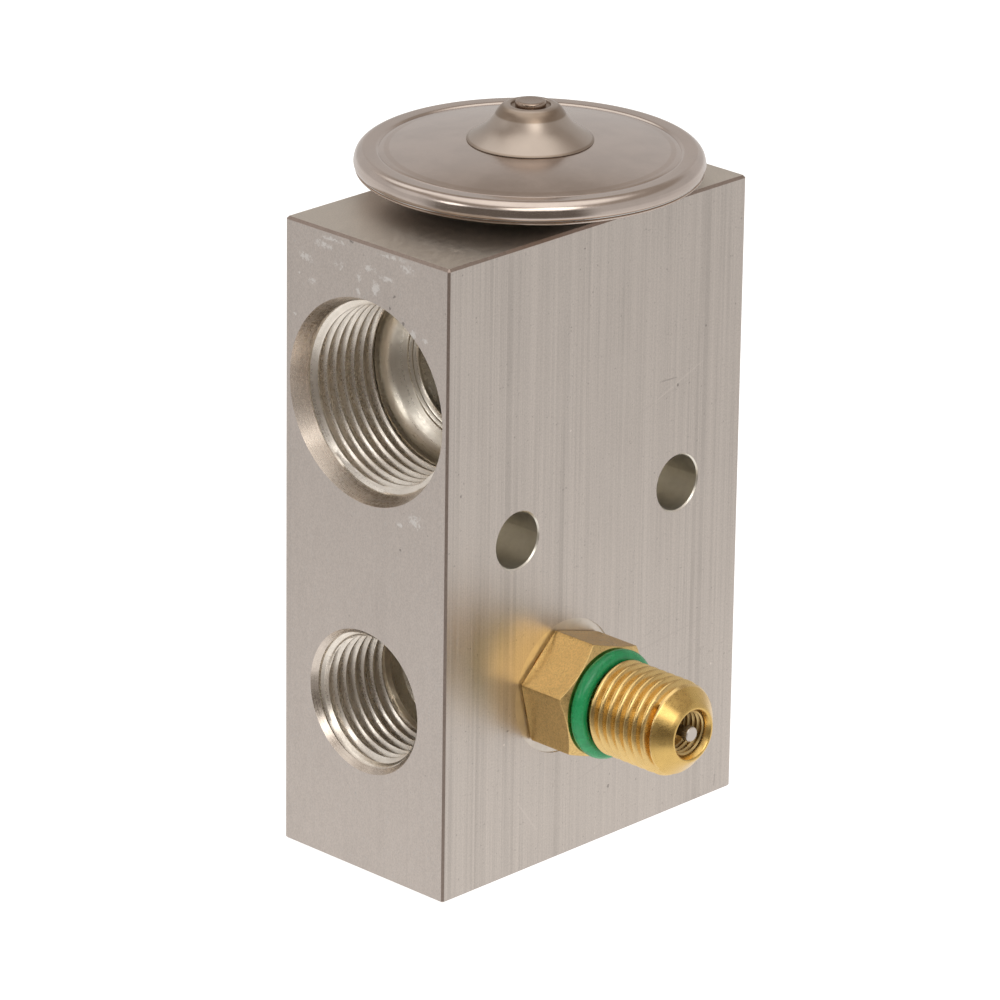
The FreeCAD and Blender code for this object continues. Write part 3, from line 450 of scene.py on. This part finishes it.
def arc(cx, cz, r, a0, a1, n=8):
    """Points on an arc, angles in degrees."""
    return [(cx + r * math.cos(math.radians(a0 + (a1 - a0) * i / n)),
             cz + r * math.sin(math.radians(a0 + (a1 - a0) * i / n))) for i in range(n + 1)]


def torus(centre_r, tube_r, z, n=24):
    return [(centre_r + tube_r * math.cos(TAU * i / n), z + tube_r * math.sin(TAU * i / n)) for i in range(n)]


# the power element's upper cover
CROWN, BIG = 81.17, 96.0
SEAM = 77.8


def dome(r, drop=0.0, radius=BIG):
    return CROWN - drop - radius + math.sqrt(radius * radius - r * r)


cover = [(r, dome(r)) for r in (1.1, 3, 5, 6.5, 8, 10, 12, 14, 15.5, 16.2, 16.5)]
cover += [(16.70, dome(16.70) - 0.010), (16.80, dome(16.80) - 0.035), (16.86, dome(16.86) - 0.055), (16.92, dome(16.86) - 0.035),
          (17.0, 79.72), (17.12, 79.775), (17.3, 79.80), (17.8, 79.81)]
cover += arc(18.36, 78.62, 1.2, 93, 8, 18)
cover += [(19.60, 78.62), (19.64, 78.35), (19.61, 78.1), (19.56, 77.94), (19.47, 77.86), (19.36, SEAM)]
cover += [(17.0, SEAM), (15.9, dome(15.9, 1.2))]
cover += [(r, dome(r, 1.2)) for r in (14, 12, 10, 8, 6, 4, 1.1)]
v, f = lathe(cover, upright, 288, close=True)
upper = add_mesh("upper_cover_skin", v, f, cover_mat)
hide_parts("upper_cover")

low = [(8.6, TOP + 1.25), (10.6, TOP + 1.25), (12.2, TOP + 1.37), (15.6, TOP + 2.05), (17.0, SEAM - 0.15),
       (19.2, SEAM - 0.08), (19.36, SEAM - 0.1), (19.44, SEAM - 0.18), (19.45, SEAM - 0.28), (19.38, SEAM - 0.4), (19.2, SEAM - 0.5),
       (18.7, TOP + 2.43), (18.0, TOP + 2.2), (17.0, TOP + 1.85), (15.2, TOP + 1.25), (12.6, TOP + 0.55), (10.8, TOP + 0.45),
       (8.6, TOP + 0.45)]
v, f = lathe(low, upright, 288, close=True)
lower = add_mesh("lower_cover_skin", v, f, cover_mat)
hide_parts("lower_cover")

# the charging hub
HB, HT = 80.965, 85.06
hub = [(0.95, HB + 0.335), (6.15, HB + 0.235), (6.35, HB), (6.8, dome(6.8) + 0.004), (7.06, dome(7.06) + 0.004), (7.12, dome(7.12) + 0.05), (7.10, HB + 0.07)]
hub += [(6.85, HB + 0.23), (6.45, HB + 0.49), (6.0, HB + 0.80), (5.5, HB + 1.17), (5.0, HB + 1.60),
        (4.55, HB + 2.10), (4.15, HB + 2.66), (3.85, HB + 3.12), (3.62, HB + 3.44), (3.42, HB + 3.66), (3.2, HB + 3.84),
        (2.95, HB + 3.97), (2.7, HT - 0.02), (2.5, HT), (2.36, HT - 0.02), (2.26, HT - 0.1), (2.2, HT - 0.28), (0.95, HT - 0.28)]
v, f = lathe(hub, upright, 192, close=True)
hub_obj = add_mesh("charge_hub_skin", v, f, hub_mat)
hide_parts("charge_hub")
plug = [(0.0, HB - 0.55), (0.55, HB - 0.55), (0.92, HB - 0.1), (0.92, HT - 0.28), (1.66, HT - 0.28), (1.72, HT - 0.2),
        (1.72, 85.22), (1.69, 85.32), (1.62, 85.39), (1.5, 85.43), (1.2, 85.425), (0.9, 85.40), (0.0, 85.39)]
v, f = lathe(plug, upright, 96)
plug_obj = add_mesh("charge_plug_skin", v, f, plug_mat)
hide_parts("charge_plug")


# --------------------------------------------------------------------- threads
def toward_axis(verts, faces, centre, direction, inward):
    """Turns the faces over if they don't look towards (or away from) the axis."""
    c, d = Vector(centre), Vector(direction).normalized()
    total = 0.0
    for face in faces[:: max(1, len(faces) // 400)]:
        a, b, e = (Vector(verts[face[k]]) for k in (0, 1, 2))
        middle = (a + b + e) / 3.0 - c
        radial = middle - d * middle.dot(d)
        total += (b - a).cross(e - a).dot(radial)
    if (total < 0) != inward:
        return [tuple(reversed(face)) for face in faces]
    return faces


def thread_sleeve(name, place, wall, crest, pitch, z0, z1, crest_at, entry, mat, axis, runout=0.0, n=240):
    """A right-hand internal thread of 60 degree form inside a wall.

    z is the depth; crest_at is the depth of a crest at angle 0; entry lists (depth, radius)
    points of the plain entry that the thread runs out into; over the last runout millimetres
    the groove gets shallower until it is gone, and without one the thread ends in a relief.
    """
    depth = wall - crest
    flank = depth * math.tan(math.radians(30.0)) / pitch
    flat = 0.075
    form = [(-0.5, 0.0), (-flat - flank, 0.0), (-flat - flank * 0.5, 0.5), (-flat - flank * 0.10, 0.90), (-flat + 0.005, 0.985),
            (-flat + 0.03, 1.0), (0.0, 1.0), (flat - 0.03, 1.0), (flat - 0.005, 0.985), (flat + flank * 0.10, 0.90),
            (flat + flank * 0.5, 0.5), (flat + flank, 0.0)]

    def limit(z):
        """Smallest radius left by the plain entry and by the relief at the far end."""
        r = 0.0
        for (za, ra), (zb, rb) in zip(entry, entry[1:]):
            if za <= z <= zb:
                r = ra + (rb - ra) * (z - za) / (zb - za)
        if z > z1 - 0.42 and not runout:
            r = max(r, crest + (wall - crest) * min(1.0, (z - z1 + 0.42) / 0.36))
        return r

    def filled(z, h):
        """Height of the thread's form once the runout has filled the groove in."""
        if not runout or z < z1 - runout:
            return h
        s = (z - z1 + runout) / runout
        return h + (1.0 - h) * s * s * (3.0 - 2.0 * s)

    k = len(form)
    first = math.floor((z0 - crest_at) / pitch) - 2
    last = math.ceil((z1 - crest_at) / pitch) + 1
    rows = [(crest_at + (m + share) * pitch, h) for m in range(first, last + 1) for share, h in form]
    count = len(rows)
    verts, faces = [], []
    for i in range(n):
        a = TAU * i / n
        for z, h in rows:
            zz = min(max(z + pitch * i / n, z0), z1)
            verts.append(place(min(wall, max(wall - depth * filled(zz, h), limit(zz))) if z0 < zz < z1 else wall, a, zz))
    for i in range(n):
        for j in range(count - 1):
            a0 = i * count + j
            b0 = (i + 1) * count + j if i + 1 < n else j + k
            if i + 1 == n and b0 + 1 >= count:
                continue
            faces.append((a0, a0 + 1, b0 + 1, b0))
    faces = toward_axis(verts, faces, place(0.0, 0.0, 0.0), axis, True)
    return add_mesh(name, verts, faces, mat, crease=24.0)


def left_port(z_axis):
    """Cylinder coordinates round a port of the -X end; z is the depth, the angle runs clockwise from +Y."""
    return lambda r, a, z: (-HALF_L + z, r * math.cos(a), z_axis + r * math.sin(a))


def right_port(z_axis):
    return lambda r, a, z: (HALF_L - z, -r * math.cos(a), z_axis + r * math.sin(a))


ports = [
    ("suction_outlet_thread", left_port(56.2), 11.105, 10.33, 1.411, 2.04, 12.0, 2.86,
     [(2.04, 11.105), (2.3, 11.0), (2.42, 10.6), (2.55, 10.2)]),
    ("liquid_inlet_thread", left_port(20.55), 7.935, 7.17, 1.411, 0.69, 11.05, 2.98,
     [(0.69, 7.935), (0.75, 7.84), (1.75, 7.3), (1.95, 7.0)]),
    ("suction_inlet_thread", right_port(56.2), 9.52, 8.70, 1.5875, 0.89, 10.8, 2.4,
     [(0.89, 9.52), (0.98, 9.46), (1.6, 9.4), (1.95, 8.7)]),
    ("evaporator_outlet_thread", right_port(26.2), 9.52, 8.70, 1.5875, 0.89, 10.8, 2.6,
     [(0.89, 9.52), (0.98, 9.46), (1.6, 9.4), (1.95, 8.7)]),
]
for name, place, wall_r, crest_r, pitch, z0, z1, at, entry in ports:
    o = thread_sleeve(name, place, wall_r, crest_r, pitch, z0, z1, at, entry, thread_mat, (1, 0, 0),
                      1.3 if name == "suction_outlet_thread" else 0.0)

# the rounded bottom of the upper port: drill cone, its stepped edge and the start of the passage
bottom = [(10.33, 11.60)] + arc(7.93, 11.668, 2.4, 0, 59, 20)
bottom += [(8.02, 14.41), (7.97, 14.45), (7.945, 14.50), (7.94, 14.58), (7.90, 14.63), (7.56, 14.70), (7.51, 14.73),
           (7.49, 14.80), (7.49, 14.90), (6.99, 15.17), (6.96, 15.25), (6.96, 15.8)]
v, f = lathe(bottom, left_port(56.2), 240)
f = toward_axis(v, f, left_port(56.2)(0.0, 0.0, 0.0), (1, 0, 0), True)
o = add_mesh("suction_outlet_bottom", v, f, bore_mat, crease=50.0)

# --------------------------------------------------------------- service port
HEX_R = 12.8 / 2
HEX_CORNER = HEX_R / math.cos(math.radians(30))
HEX_TURN = math.radians(43.5)
HF = 6.6


def hexagon_mesh():
    """The hexagon with its turned front chamfer and eased edges."""
    verts, faces = [], []
    per = 36
    n = 6 * per
    ease = 0.10

    def flat_r(a):
        b = (a - HEX_TURN) % (math.pi / 3) - math.pi / 6
        r = HEX_R / math.cos(b)
        return min(r, HEX_CORNER - ease * 0.4)

    angles = []
    for s in range(6):
        for i in range(per):
            u = i / per
            u = u + 0.0
            angles.append(HEX_TURN + (s + u) * math.pi / 3)
    rows = []

    def cone_z(r):
        return HF - max(0.0, r - 6.3) * 0.577

    levels = [lambda a: (flat_r(a) - 0.32, -0.15), lambda a: (flat_r(a) - 0.02, 0.12), lambda a: (flat_r(a), 0.17), lambda a: (flat_r(a), 3.0), lambda a: (flat_r(a), cone_z(flat_r(a)) - 0.06),
              lambda a: (flat_r(a) - 0.015, cone_z(flat_r(a)) - 0.02), lambda a: (flat_r(a) - 0.05, cone_z(flat_r(a) - 0.05)),
              lambda a: (6.31, cone_z(6.31)), lambda a: (6.24, HF - 0.003), lambda a: (6.1, HF), lambda a: (4.58, HF),
              lambda a: (4.58, HF - 0.5)]
    for fn in levels:
        start = len(verts)
        for a in angles:
            r, z = fn(a)
            verts.append(outward(r, a, z))
        rows.append(start)
    for p, q in zip(rows, rows[1:]):
        for i in range(n):
            j = (i + 1) % n
            faces.append([p + i, p + j, q + j, q + i])
    return verts, faces


v, f = hexagon_mesh()
hexagon = add_mesh("fitting_hexagon", v, f, hex_mat, crease=17.0)


def stem_thread():
    """Neck, 7/16-20 thread and cone as one turned skin with a true helical groove."""
    pitch, major, minor = 1.27, 5.52, 4.76
    form = [(0.00, 1.0), (0.07, 0.985), (0.14, 0.93), (0.22, 0.80), (0.44, 0.12), (0.49, 0.03), (0.54, 0.0), (0.59, 0.03),
            (0.64, 0.12), (0.86, 0.80), (0.94, 0.94)]
    n = 240

    shape = [(0, 4.6), (8.35, 4.6), (8.8, major), (17.2, major), (17.6, 5.26), (17.92, 5.13), (18.0, 5.07), (19.55, 3.42), (30, 3.42)]

    def envelope(z):
        for (za, ra), (zb, rb) in zip(shape, shape[1:]):
            if za <= z <= zb:
                return ra + (rb - ra) * (z - za) / (zb - za)

    def last_groove(a, z):
        """Extra depth of the groove beside the cone, from 150 degrees round to 340."""
        turn = math.degrees(a)
        if not 128.0 < turn < 345.0:
            return 0.0
        at = 17.50 + pitch * (max(turn, 150.0) - 150.0) / 360.0 * 0.45 - 0.05 * max(0.0, 146.0 - turn) / 10.0
        fade = min(1.0, (turn - 128.0) / 6.0) * min(1.0, (345.0 - turn) / 40.0)
        nick = 0.12 * math.exp(-((turn - 139.0) / 5.0) ** 2)
        off = z - at
        wall = 0.16 if off > 0.0 else 0.36
        return fade * ((0.68 + nick) * math.exp(-(off / wall) ** 2))

    groove_at = 17.42  # height of the groove's middle at 150 degrees
    z_lo, z_hi = 8.4, 18.25
    k = len(form)
    phase = groove_at - 0.54 * pitch - pitch * 150.0 / 360.0
    first = math.floor((z_lo - phase) / pitch) - 2
    last = math.ceil((z_hi - phase) / pitch) + 1
    rows = []
    for m in range(first, last + 1):
        base = []
        for i, (share, h) in enumerate(form):
            nxt = form[(i + 1) % k]
            s2 = nxt[0] + (1.0 if i + 1 == k else 0.0)
            base.append((phase + (m + share) * pitch, h))
            mid = (share + s2) / 2
            base.append((phase + (m + mid) * pitch, (h + nxt[1]) / 2))
        rows += base
    k2 = 2 * k
    verts, faces = [], []
    count = len(rows)
    for i in range(n):
        a = TAU * i / n
        for z, h in rows:
            zz = z + pitch * i / n
            # the groove fades where the die stopped, next to the neck
            r = minor + (major - minor) * h
            zc = min(max(zz, z_lo), z_hi)
            r = min(r, envelope(zc)) if z_lo < zz < z_hi else envelope(zc)
            if z_lo < zz < z_hi:
                r -= last_groove(a, zc)
            verts.append(outward(r, a, zc))
    for i in range(n):
        for j in range(count - 1):
            a0 = i * count + j
            if i + 1 < n:
                b0 = (i + 1) * count + j
            else:
                b0 = j + k2
                if b0 + 1 >= count:
                    continue
            faces.append([a0, a0 + 1, b0 + 1, b0])
    return verts, faces, envelope


v, f, envelope = stem_thread()
thread = add_mesh("fitting_thread", v, f, groove_mat, crease=38.0, mats=[groove_mat, brass_mat])
for poly in thread.data.polygons:
    poly.material_index = 1 if FY - poly.center.y / MM > 18.02 else 0
nose = [(envelope(18.2), 18.2)]
nose += [(envelope(z), z) for z in (18.6, 19.0, 19.35, 19.5)]
nose += [(3.35, 19.58), (3.26, 19.66), (3.17, 19.71), (3.08, 19.73), (3.00, 19.72), (2.93, 19.67), (2.87, 19.58), (2.66, 19.16), (2.60, 19.02), (2.58, 18.9)]
v, f = lathe(nose, outward, 200)
nose_obj = add_mesh("fitting_nose", v, f, brass_mat, crease=40.0)
neck = [(4.58, HF - 0.4), (4.6, HF), (4.6, 8.45)]
v, f = lathe(neck, outward, 96)
neck_obj = add_mesh("fitting_neck", v, f, brass_mat)


def core_thread():
    """The fine thread inside the mouth."""
    pitch, major, minor = 0.706, 2.72, 2.42
    form = [(0.0, 0.0), (0.12, 0.0), (0.42, 1.0), (0.58, 1.0), (0.88, 0.0)]
    z_lo, z_hi = 13.4, 19.08
    n, k = 120, len(form)
    first = math.floor(z_lo / pitch) - 2
    last = math.ceil(z_hi / pitch) + 1
    rows = [((m + s) * pitch, h) for m in range(first, last + 1) for s, h in form]
    count = len(rows)
    verts, faces = [], []
    for i in range(n):
        a = TAU * i / n
        for z, h in rows:
            zz = z + pitch * i / n
            r = major - (major - minor) * h
            zc = min(max(zz, z_lo), z_hi)
            if not z_lo < zz < z_hi:
                r = major
            verts.append(outward(r, a, zc))
    for i in range(n):
        for j in range(count - 1):
            a0 = i * count + j
            b0 = (i + 1) * count + j if i + 1 < n else j + k
            if i + 1 == n and b0 + 1 >= count:
                continue
            faces.append([a0, b0, b0 + 1, a0 + 1])
    return verts, faces


v, f = core_thread()
core_skin = add_mesh("fitting_core_thread", v, f, mouth_mat, crease=25.0)
back_end = [(2.72, 13.45), (2.72, 13.4), (2.05, 12.8), (2.05, 5.5), (1.5, 4.9), (1.5, -6.0), (4.3, -6.0), (4.7, -5.6),
            (4.7, -0.15), (6.2, -0.15)]
v, f = lathe(back_end, outward, 96)
back_obj = add_mesh("fitting_stem", v, f, brass_mat)
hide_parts("service_fitting")

# the green sealing ring
v, f = lathe(torus(5.45, 0.92, HF + 0.9, 40), outward, 200, close=True)
ring = add_mesh("cap_seal_skin", v, f, green_mat)
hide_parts("cap_seal")

# --------------------------------------------------- finishes of the CAD nodes
plain = {
    "mounting_collar": steel_mat, "diaphragm": bright_mat, "collar_seal": green_mat, "diaphragm_pad": alu_mat,
    "sensing_rod": alu_mat, "operating_rod": bright_mat, "rod_seal": black_mat, "seal_retainer": bright_mat,
    "valve_ball": bright_mat, "ball_carrier": alu_mat, "valve_spring": bright_mat, "adjusting_screw": brass_mat,
    "adjuster_seal": green_mat, "fitting_seal": black_mat, "core_plug": mouth_mat, "core_barrel": brass_mat,
    "core_seal": black_mat, "core_pin": pin_mat, "core_cup": brass_mat, "core_spring": bright_mat,
    "upper_cover": cover_mat, "lower_cover": cover_mat, "charge_hub": hub_mat, "charge_plug": bright_mat,
    "service_fitting": brass_mat, "cap_seal": green_mat,
}
for name, mat in plain.items():
    mesh = nodes_cad[name].data
    mesh.materials.clear()
    mesh.materials.append(mat)



def coil_part(name, node, keep):
    """The faces of a coil that keep picks, as a mesh of their own."""
    source = nodes_cad[node].data
    faces = [tuple(p.vertices) for p in source.polygons if keep(p.center)]
    place = {v: i for i, v in enumerate(sorted({v for face in faces for v in face}))}
    mesh = bpy.data.meshes.new(name)
    mesh.from_pydata([tuple(source.vertices[v].co) for v in place], [], [tuple(place[v] for v in face) for face in faces])
    mesh.materials.append(bright_mat)
    mesh.shade_smooth()
    obj = bpy.data.objects.new(name, mesh)
    scene.collection.objects.link(obj)
    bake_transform(obj)
    return obj


# both springs as meshes of their own, the large one split into a lower and an upper half
lo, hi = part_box("valve_spring")
half = (lo.z + hi.z) / 2
lower_coil = coil_part("valve_spring_lower_coils", "valve_spring", lambda c: c.z < half)
upper_coil = coil_part("valve_spring_upper_coils", "valve_spring", lambda c: c.z >= half)
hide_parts("valve_spring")
lo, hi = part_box("core_spring")
core_coil = coil_part("core_spring_coils", "core_spring", lambda c: True)
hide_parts("core_spring")

# the head keeps the plated finish; the shaft behind it gets the darker steel, which is painted shade
pin = nodes_cad["core_pin"].data
pin.materials.append(shaded_shaft_mat)
for poly in pin.polygons:
    poly.material_index = 0 if FY - poly.center.y / MM > 19.0 else 1

block = nodes_cad["valve_block"].data
block.materials.clear()
for m in (front_mat, end_mat, top_mat, bore_mat, chamfer_mat, spot_mat, shaded_edge_mat, hole_mat):
    block.materials.append(m)
for poly in block.polygons:
    n, c = poly.normal, poly.center
    x, y, z = c.x / MM, c.y / MM, c.z / MM
    mouth = False
    if abs(x) > HALF_L - (2.2 if x < 0 and z > 40 else 1.1) and z < TOP - 0.5:
        for pz, pr in ((56.2, 12.0), (20.55, 8.6)) if x < 0 else ((56.2, 10.4), (26.2, 10.4)):
            mouth = mouth or math.hypot(y, z - pz) < pr
    outer = (abs(x) > HALF_L - 0.42 or z < 0.42 or z > TOP - 0.42) and abs(n.y) < 0.98 or (
        abs(y) > HALF_W - 0.42 and (abs(x) > HALF_L - 0.42 or z < 0.42 or z > TOP - 0.42))
    if abs(n.y) > 0.9 and abs(abs(y) - HALF_W) < 0.01:
        poly.material_index = 0
    elif abs(n.x) > 0.9 and abs(abs(x) - HALF_L) < 0.01:
        poly.material_index = 1
    elif abs(n.z) > 0.9 and (z < 0.01 or z > TOP - 0.01):
        poly.material_index = 2
    # chamfers round the outside get the darker edge finish, which is painted shade
    elif outer and not mouth and math.hypot(x - AX, y) > 11.5:
        poly.material_index = 6
    elif mouth:
        poly.material_index = 4
    elif abs(y) > HALF_W - 0.6 and math.hypot(x - FX, z - FZ) < 8.0 and y < 0:
        poly.material_index = 5
    elif min(math.hypot(x + 12.5, z - 40.45), math.hypot(x - 13.4, z - 40.45)) < 3.6:
        poly.material_index = 7
    else:
        poly.material_index = 3

# ------------------------------------------------------------ floor and lights
def stage_plane(name, corners, mat):
    mesh = bpy.data.meshes.new(name)
    mesh.from_pydata(corners, [], [(0, 1, 2, 3)])
    mesh.materials.append(mat)
    obj = bpy.data.objects.new(name, mesh)
    scene.collection.objects.link(obj)
    return obj


def hide_from(obj, *kinds):
    for kind in kinds:
        setattr(obj, "visible_" + kind, False)


# a white sweep lit from all round: it glows a little, so that shadows on it stay faint
floor_mat, t, bsdf = material("floor_white")
finish_metal(t, bsdf, (0.30, 0.30, 0.30, 1), 0.8, metallic=0.0)
bsdf.inputs["Specular IOR Level"].default_value = 0.0
t.put(bsdf.inputs["Emission Color"], (1.0, 0.995, 0.985, 1))
bsdf.inputs["Emission Strength"].default_value = 0.97
floor = stage_plane("floor", [(-3, -3, -0.00005), (3, -3, -0.00005), (3, 3, -0.00005), (-3, 3, -0.00005)], floor_mat)
hide_from(floor, "glossy")

# light that comes back from the table close to the block, brightest beside it
glow_mat = bpy.data.materials.new("table_glow")
glow_mat.use_nodes = True
t = Tree(glow_mat.node_tree)
out = t.node("ShaderNodeOutputMaterial")
clear = t.node("ShaderNodeBsdfTransparent")
lamp = t.node("ShaderNodeEmission")
both = t.node("ShaderNodeAddShader")
t.tree.links.new(clear.outputs[0], both.inputs[0])
t.tree.links.new(lamp.outputs[0], both.inputs[1])
t.tree.links.new(both.outputs[0], out.inputs["Surface"])
px, py, _ = t.xyz(t.point())
reach = t.math("SQRT", t.math("ADD", t.math("MULTIPLY", px, px), t.math("MULTIPLY", py, py)))
lamp.inputs["Color"].default_value = (1.0, 0.985, 0.96, 1)
t.put(lamp.inputs["Strength"], t.span(reach, 20.0, 210.0, 0.21, 0.0))
glow = stage_plane("table_glow", [(-0.3, -0.3, -0.00002), (0.3, -0.3, -0.00002), (0.3, 0.3, -0.00002), (-0.3, 0.3, -0.00002)], glow_mat)
hide_from(glow, "camera", "diffuse", "shadow")

world = bpy.data.worlds.new("studio")
scene.world = world
world.use_nodes = True
t = Tree(world.node_tree)
out = t.node("ShaderNodeOutputWorld")
bg = t.node("ShaderNodeBackground")
t.tree.links.new(bg.outputs[0], out.inputs["Surface"])
coord = t.node("ShaderNodeTexCoord")
sky = coord.outputs["Generated"]


def lobe(azimuth, elevation, inner, outer):
    """1 inside a round patch of sky, falling to 0 at its outer angle, all in degrees."""
    a, e = math.radians(azimuth), math.radians(elevation)
    n = t.node("ShaderNodeVectorMath", {"operation": "DOT_PRODUCT"})
    t.put(n.inputs[0], sky)
    n.inputs[1].default_value = (math.cos(a) * math.cos(e), math.sin(a) * math.cos(e), math.sin(e))
    return t.span(n.outputs["Value"], math.cos(math.radians(outer)), math.cos(math.radians(inner)))


def level(degrees):
    return math.sin(math.radians(degrees))


_, _, wz = t.xyz(sky)
# below the horizon the pale table, above it a light wall, then a dimmer ceiling and a large soft box
colour = t.mix(t.span(wz, level(-8), level(4)), (0.81, 0.79, 0.775, 1), (0.62, 0.60, 0.585, 1))
colour = t.mix(t.span(wz, level(27), level(36)), colour, (0.41, 0.36, 0.32, 1))
colour = t.mix(t.span(wz, level(50), level(68)), colour, (1.35, 1.31, 1.26, 1))
# the dark room behind the camera, low down and round to the left
room = t.math("MULTIPLY", t.span(wz, level(-35), level(-31)), t.span(wz, level(21), level(17)))
room = t.math("MULTIPLY", room, lobe(-150.0, -8.0, 44.0, 62.0))
colour = t.mix(t.math("MULTIPLY", room, 0.93), colour, (0.13, 0.11, 0.092, 1))
# soft boxes: a small one low on the left, two pale patches behind the block, two bright ones over the camera
colour = t.mix(lobe(171.0, 24.0, 5.0, 11.0), colour, (2.9, 2.87, 2.83, 1))
colour = t.mix(lobe(135.0, 24.0, 9.0, 20.0), colour, (0.84, 0.825, 0.81, 1))
colour = t.mix(lobe(88.0, 49.0, 8.0, 18.0), colour, (1.25, 1.23, 1.20, 1))
colour = t.mix(lobe(-140.0, 35.0, 8.0, 15.0), colour, (2.4, 2.34, 2.25, 1))
colour = t.mix(lobe(-116.0, 40.0, 9.0, 18.0), colour, (3.0, 2.93, 2.80, 1))
t.put(bg.inputs["Color"], colour)
bg.inputs["Strength"].default_value = 1.0

# --------------------------------------------------------------------- camera
az, el, roll = math.radians(-45.931), math.radians(21.139), math.radians(0.787)
back = Vector((math.sin(az) * math.cos(el), -math.cos(az) * math.cos(el), math.sin(el)))
right = Vector((math.cos(az), math.sin(az), 0.0))
up = back.cross(right)
spot = Vector((0, 0, TOP / 2)) + back * 748.877 - right * 1.586 - up * (-0.926)
right_r = right * math.cos(roll) + up * math.sin(roll)
up_r = up * math.cos(roll) - right * math.sin(roll)
cam_data = bpy.data.cameras.new("camera")
cam_data.sensor_width = 36.0
cam_data.lens = 6615.1 * 36.0 / 1000.0
cam_data.clip_start, cam_data.clip_end = 0.01, 20.0
cam = bpy.data.objects.new("camera", cam_data)
cam.matrix_world = Matrix((
    (right_r.x, up_r.x, back.x, spot.x * MM), (right_r.y, up_r.y, back.y, spot.y * MM),
    (right_r.z, up_r.z, back.z, spot.z * MM), (0, 0, 0, 1)))
scene.collection.objects.link(cam)
scene.camera = cam
scene.view_settings.view_transform = "Standard"
scene.view_settings.look = "None"
scene.view_settings.exposure = 0.0
scene.view_settings.gamma = 1.0
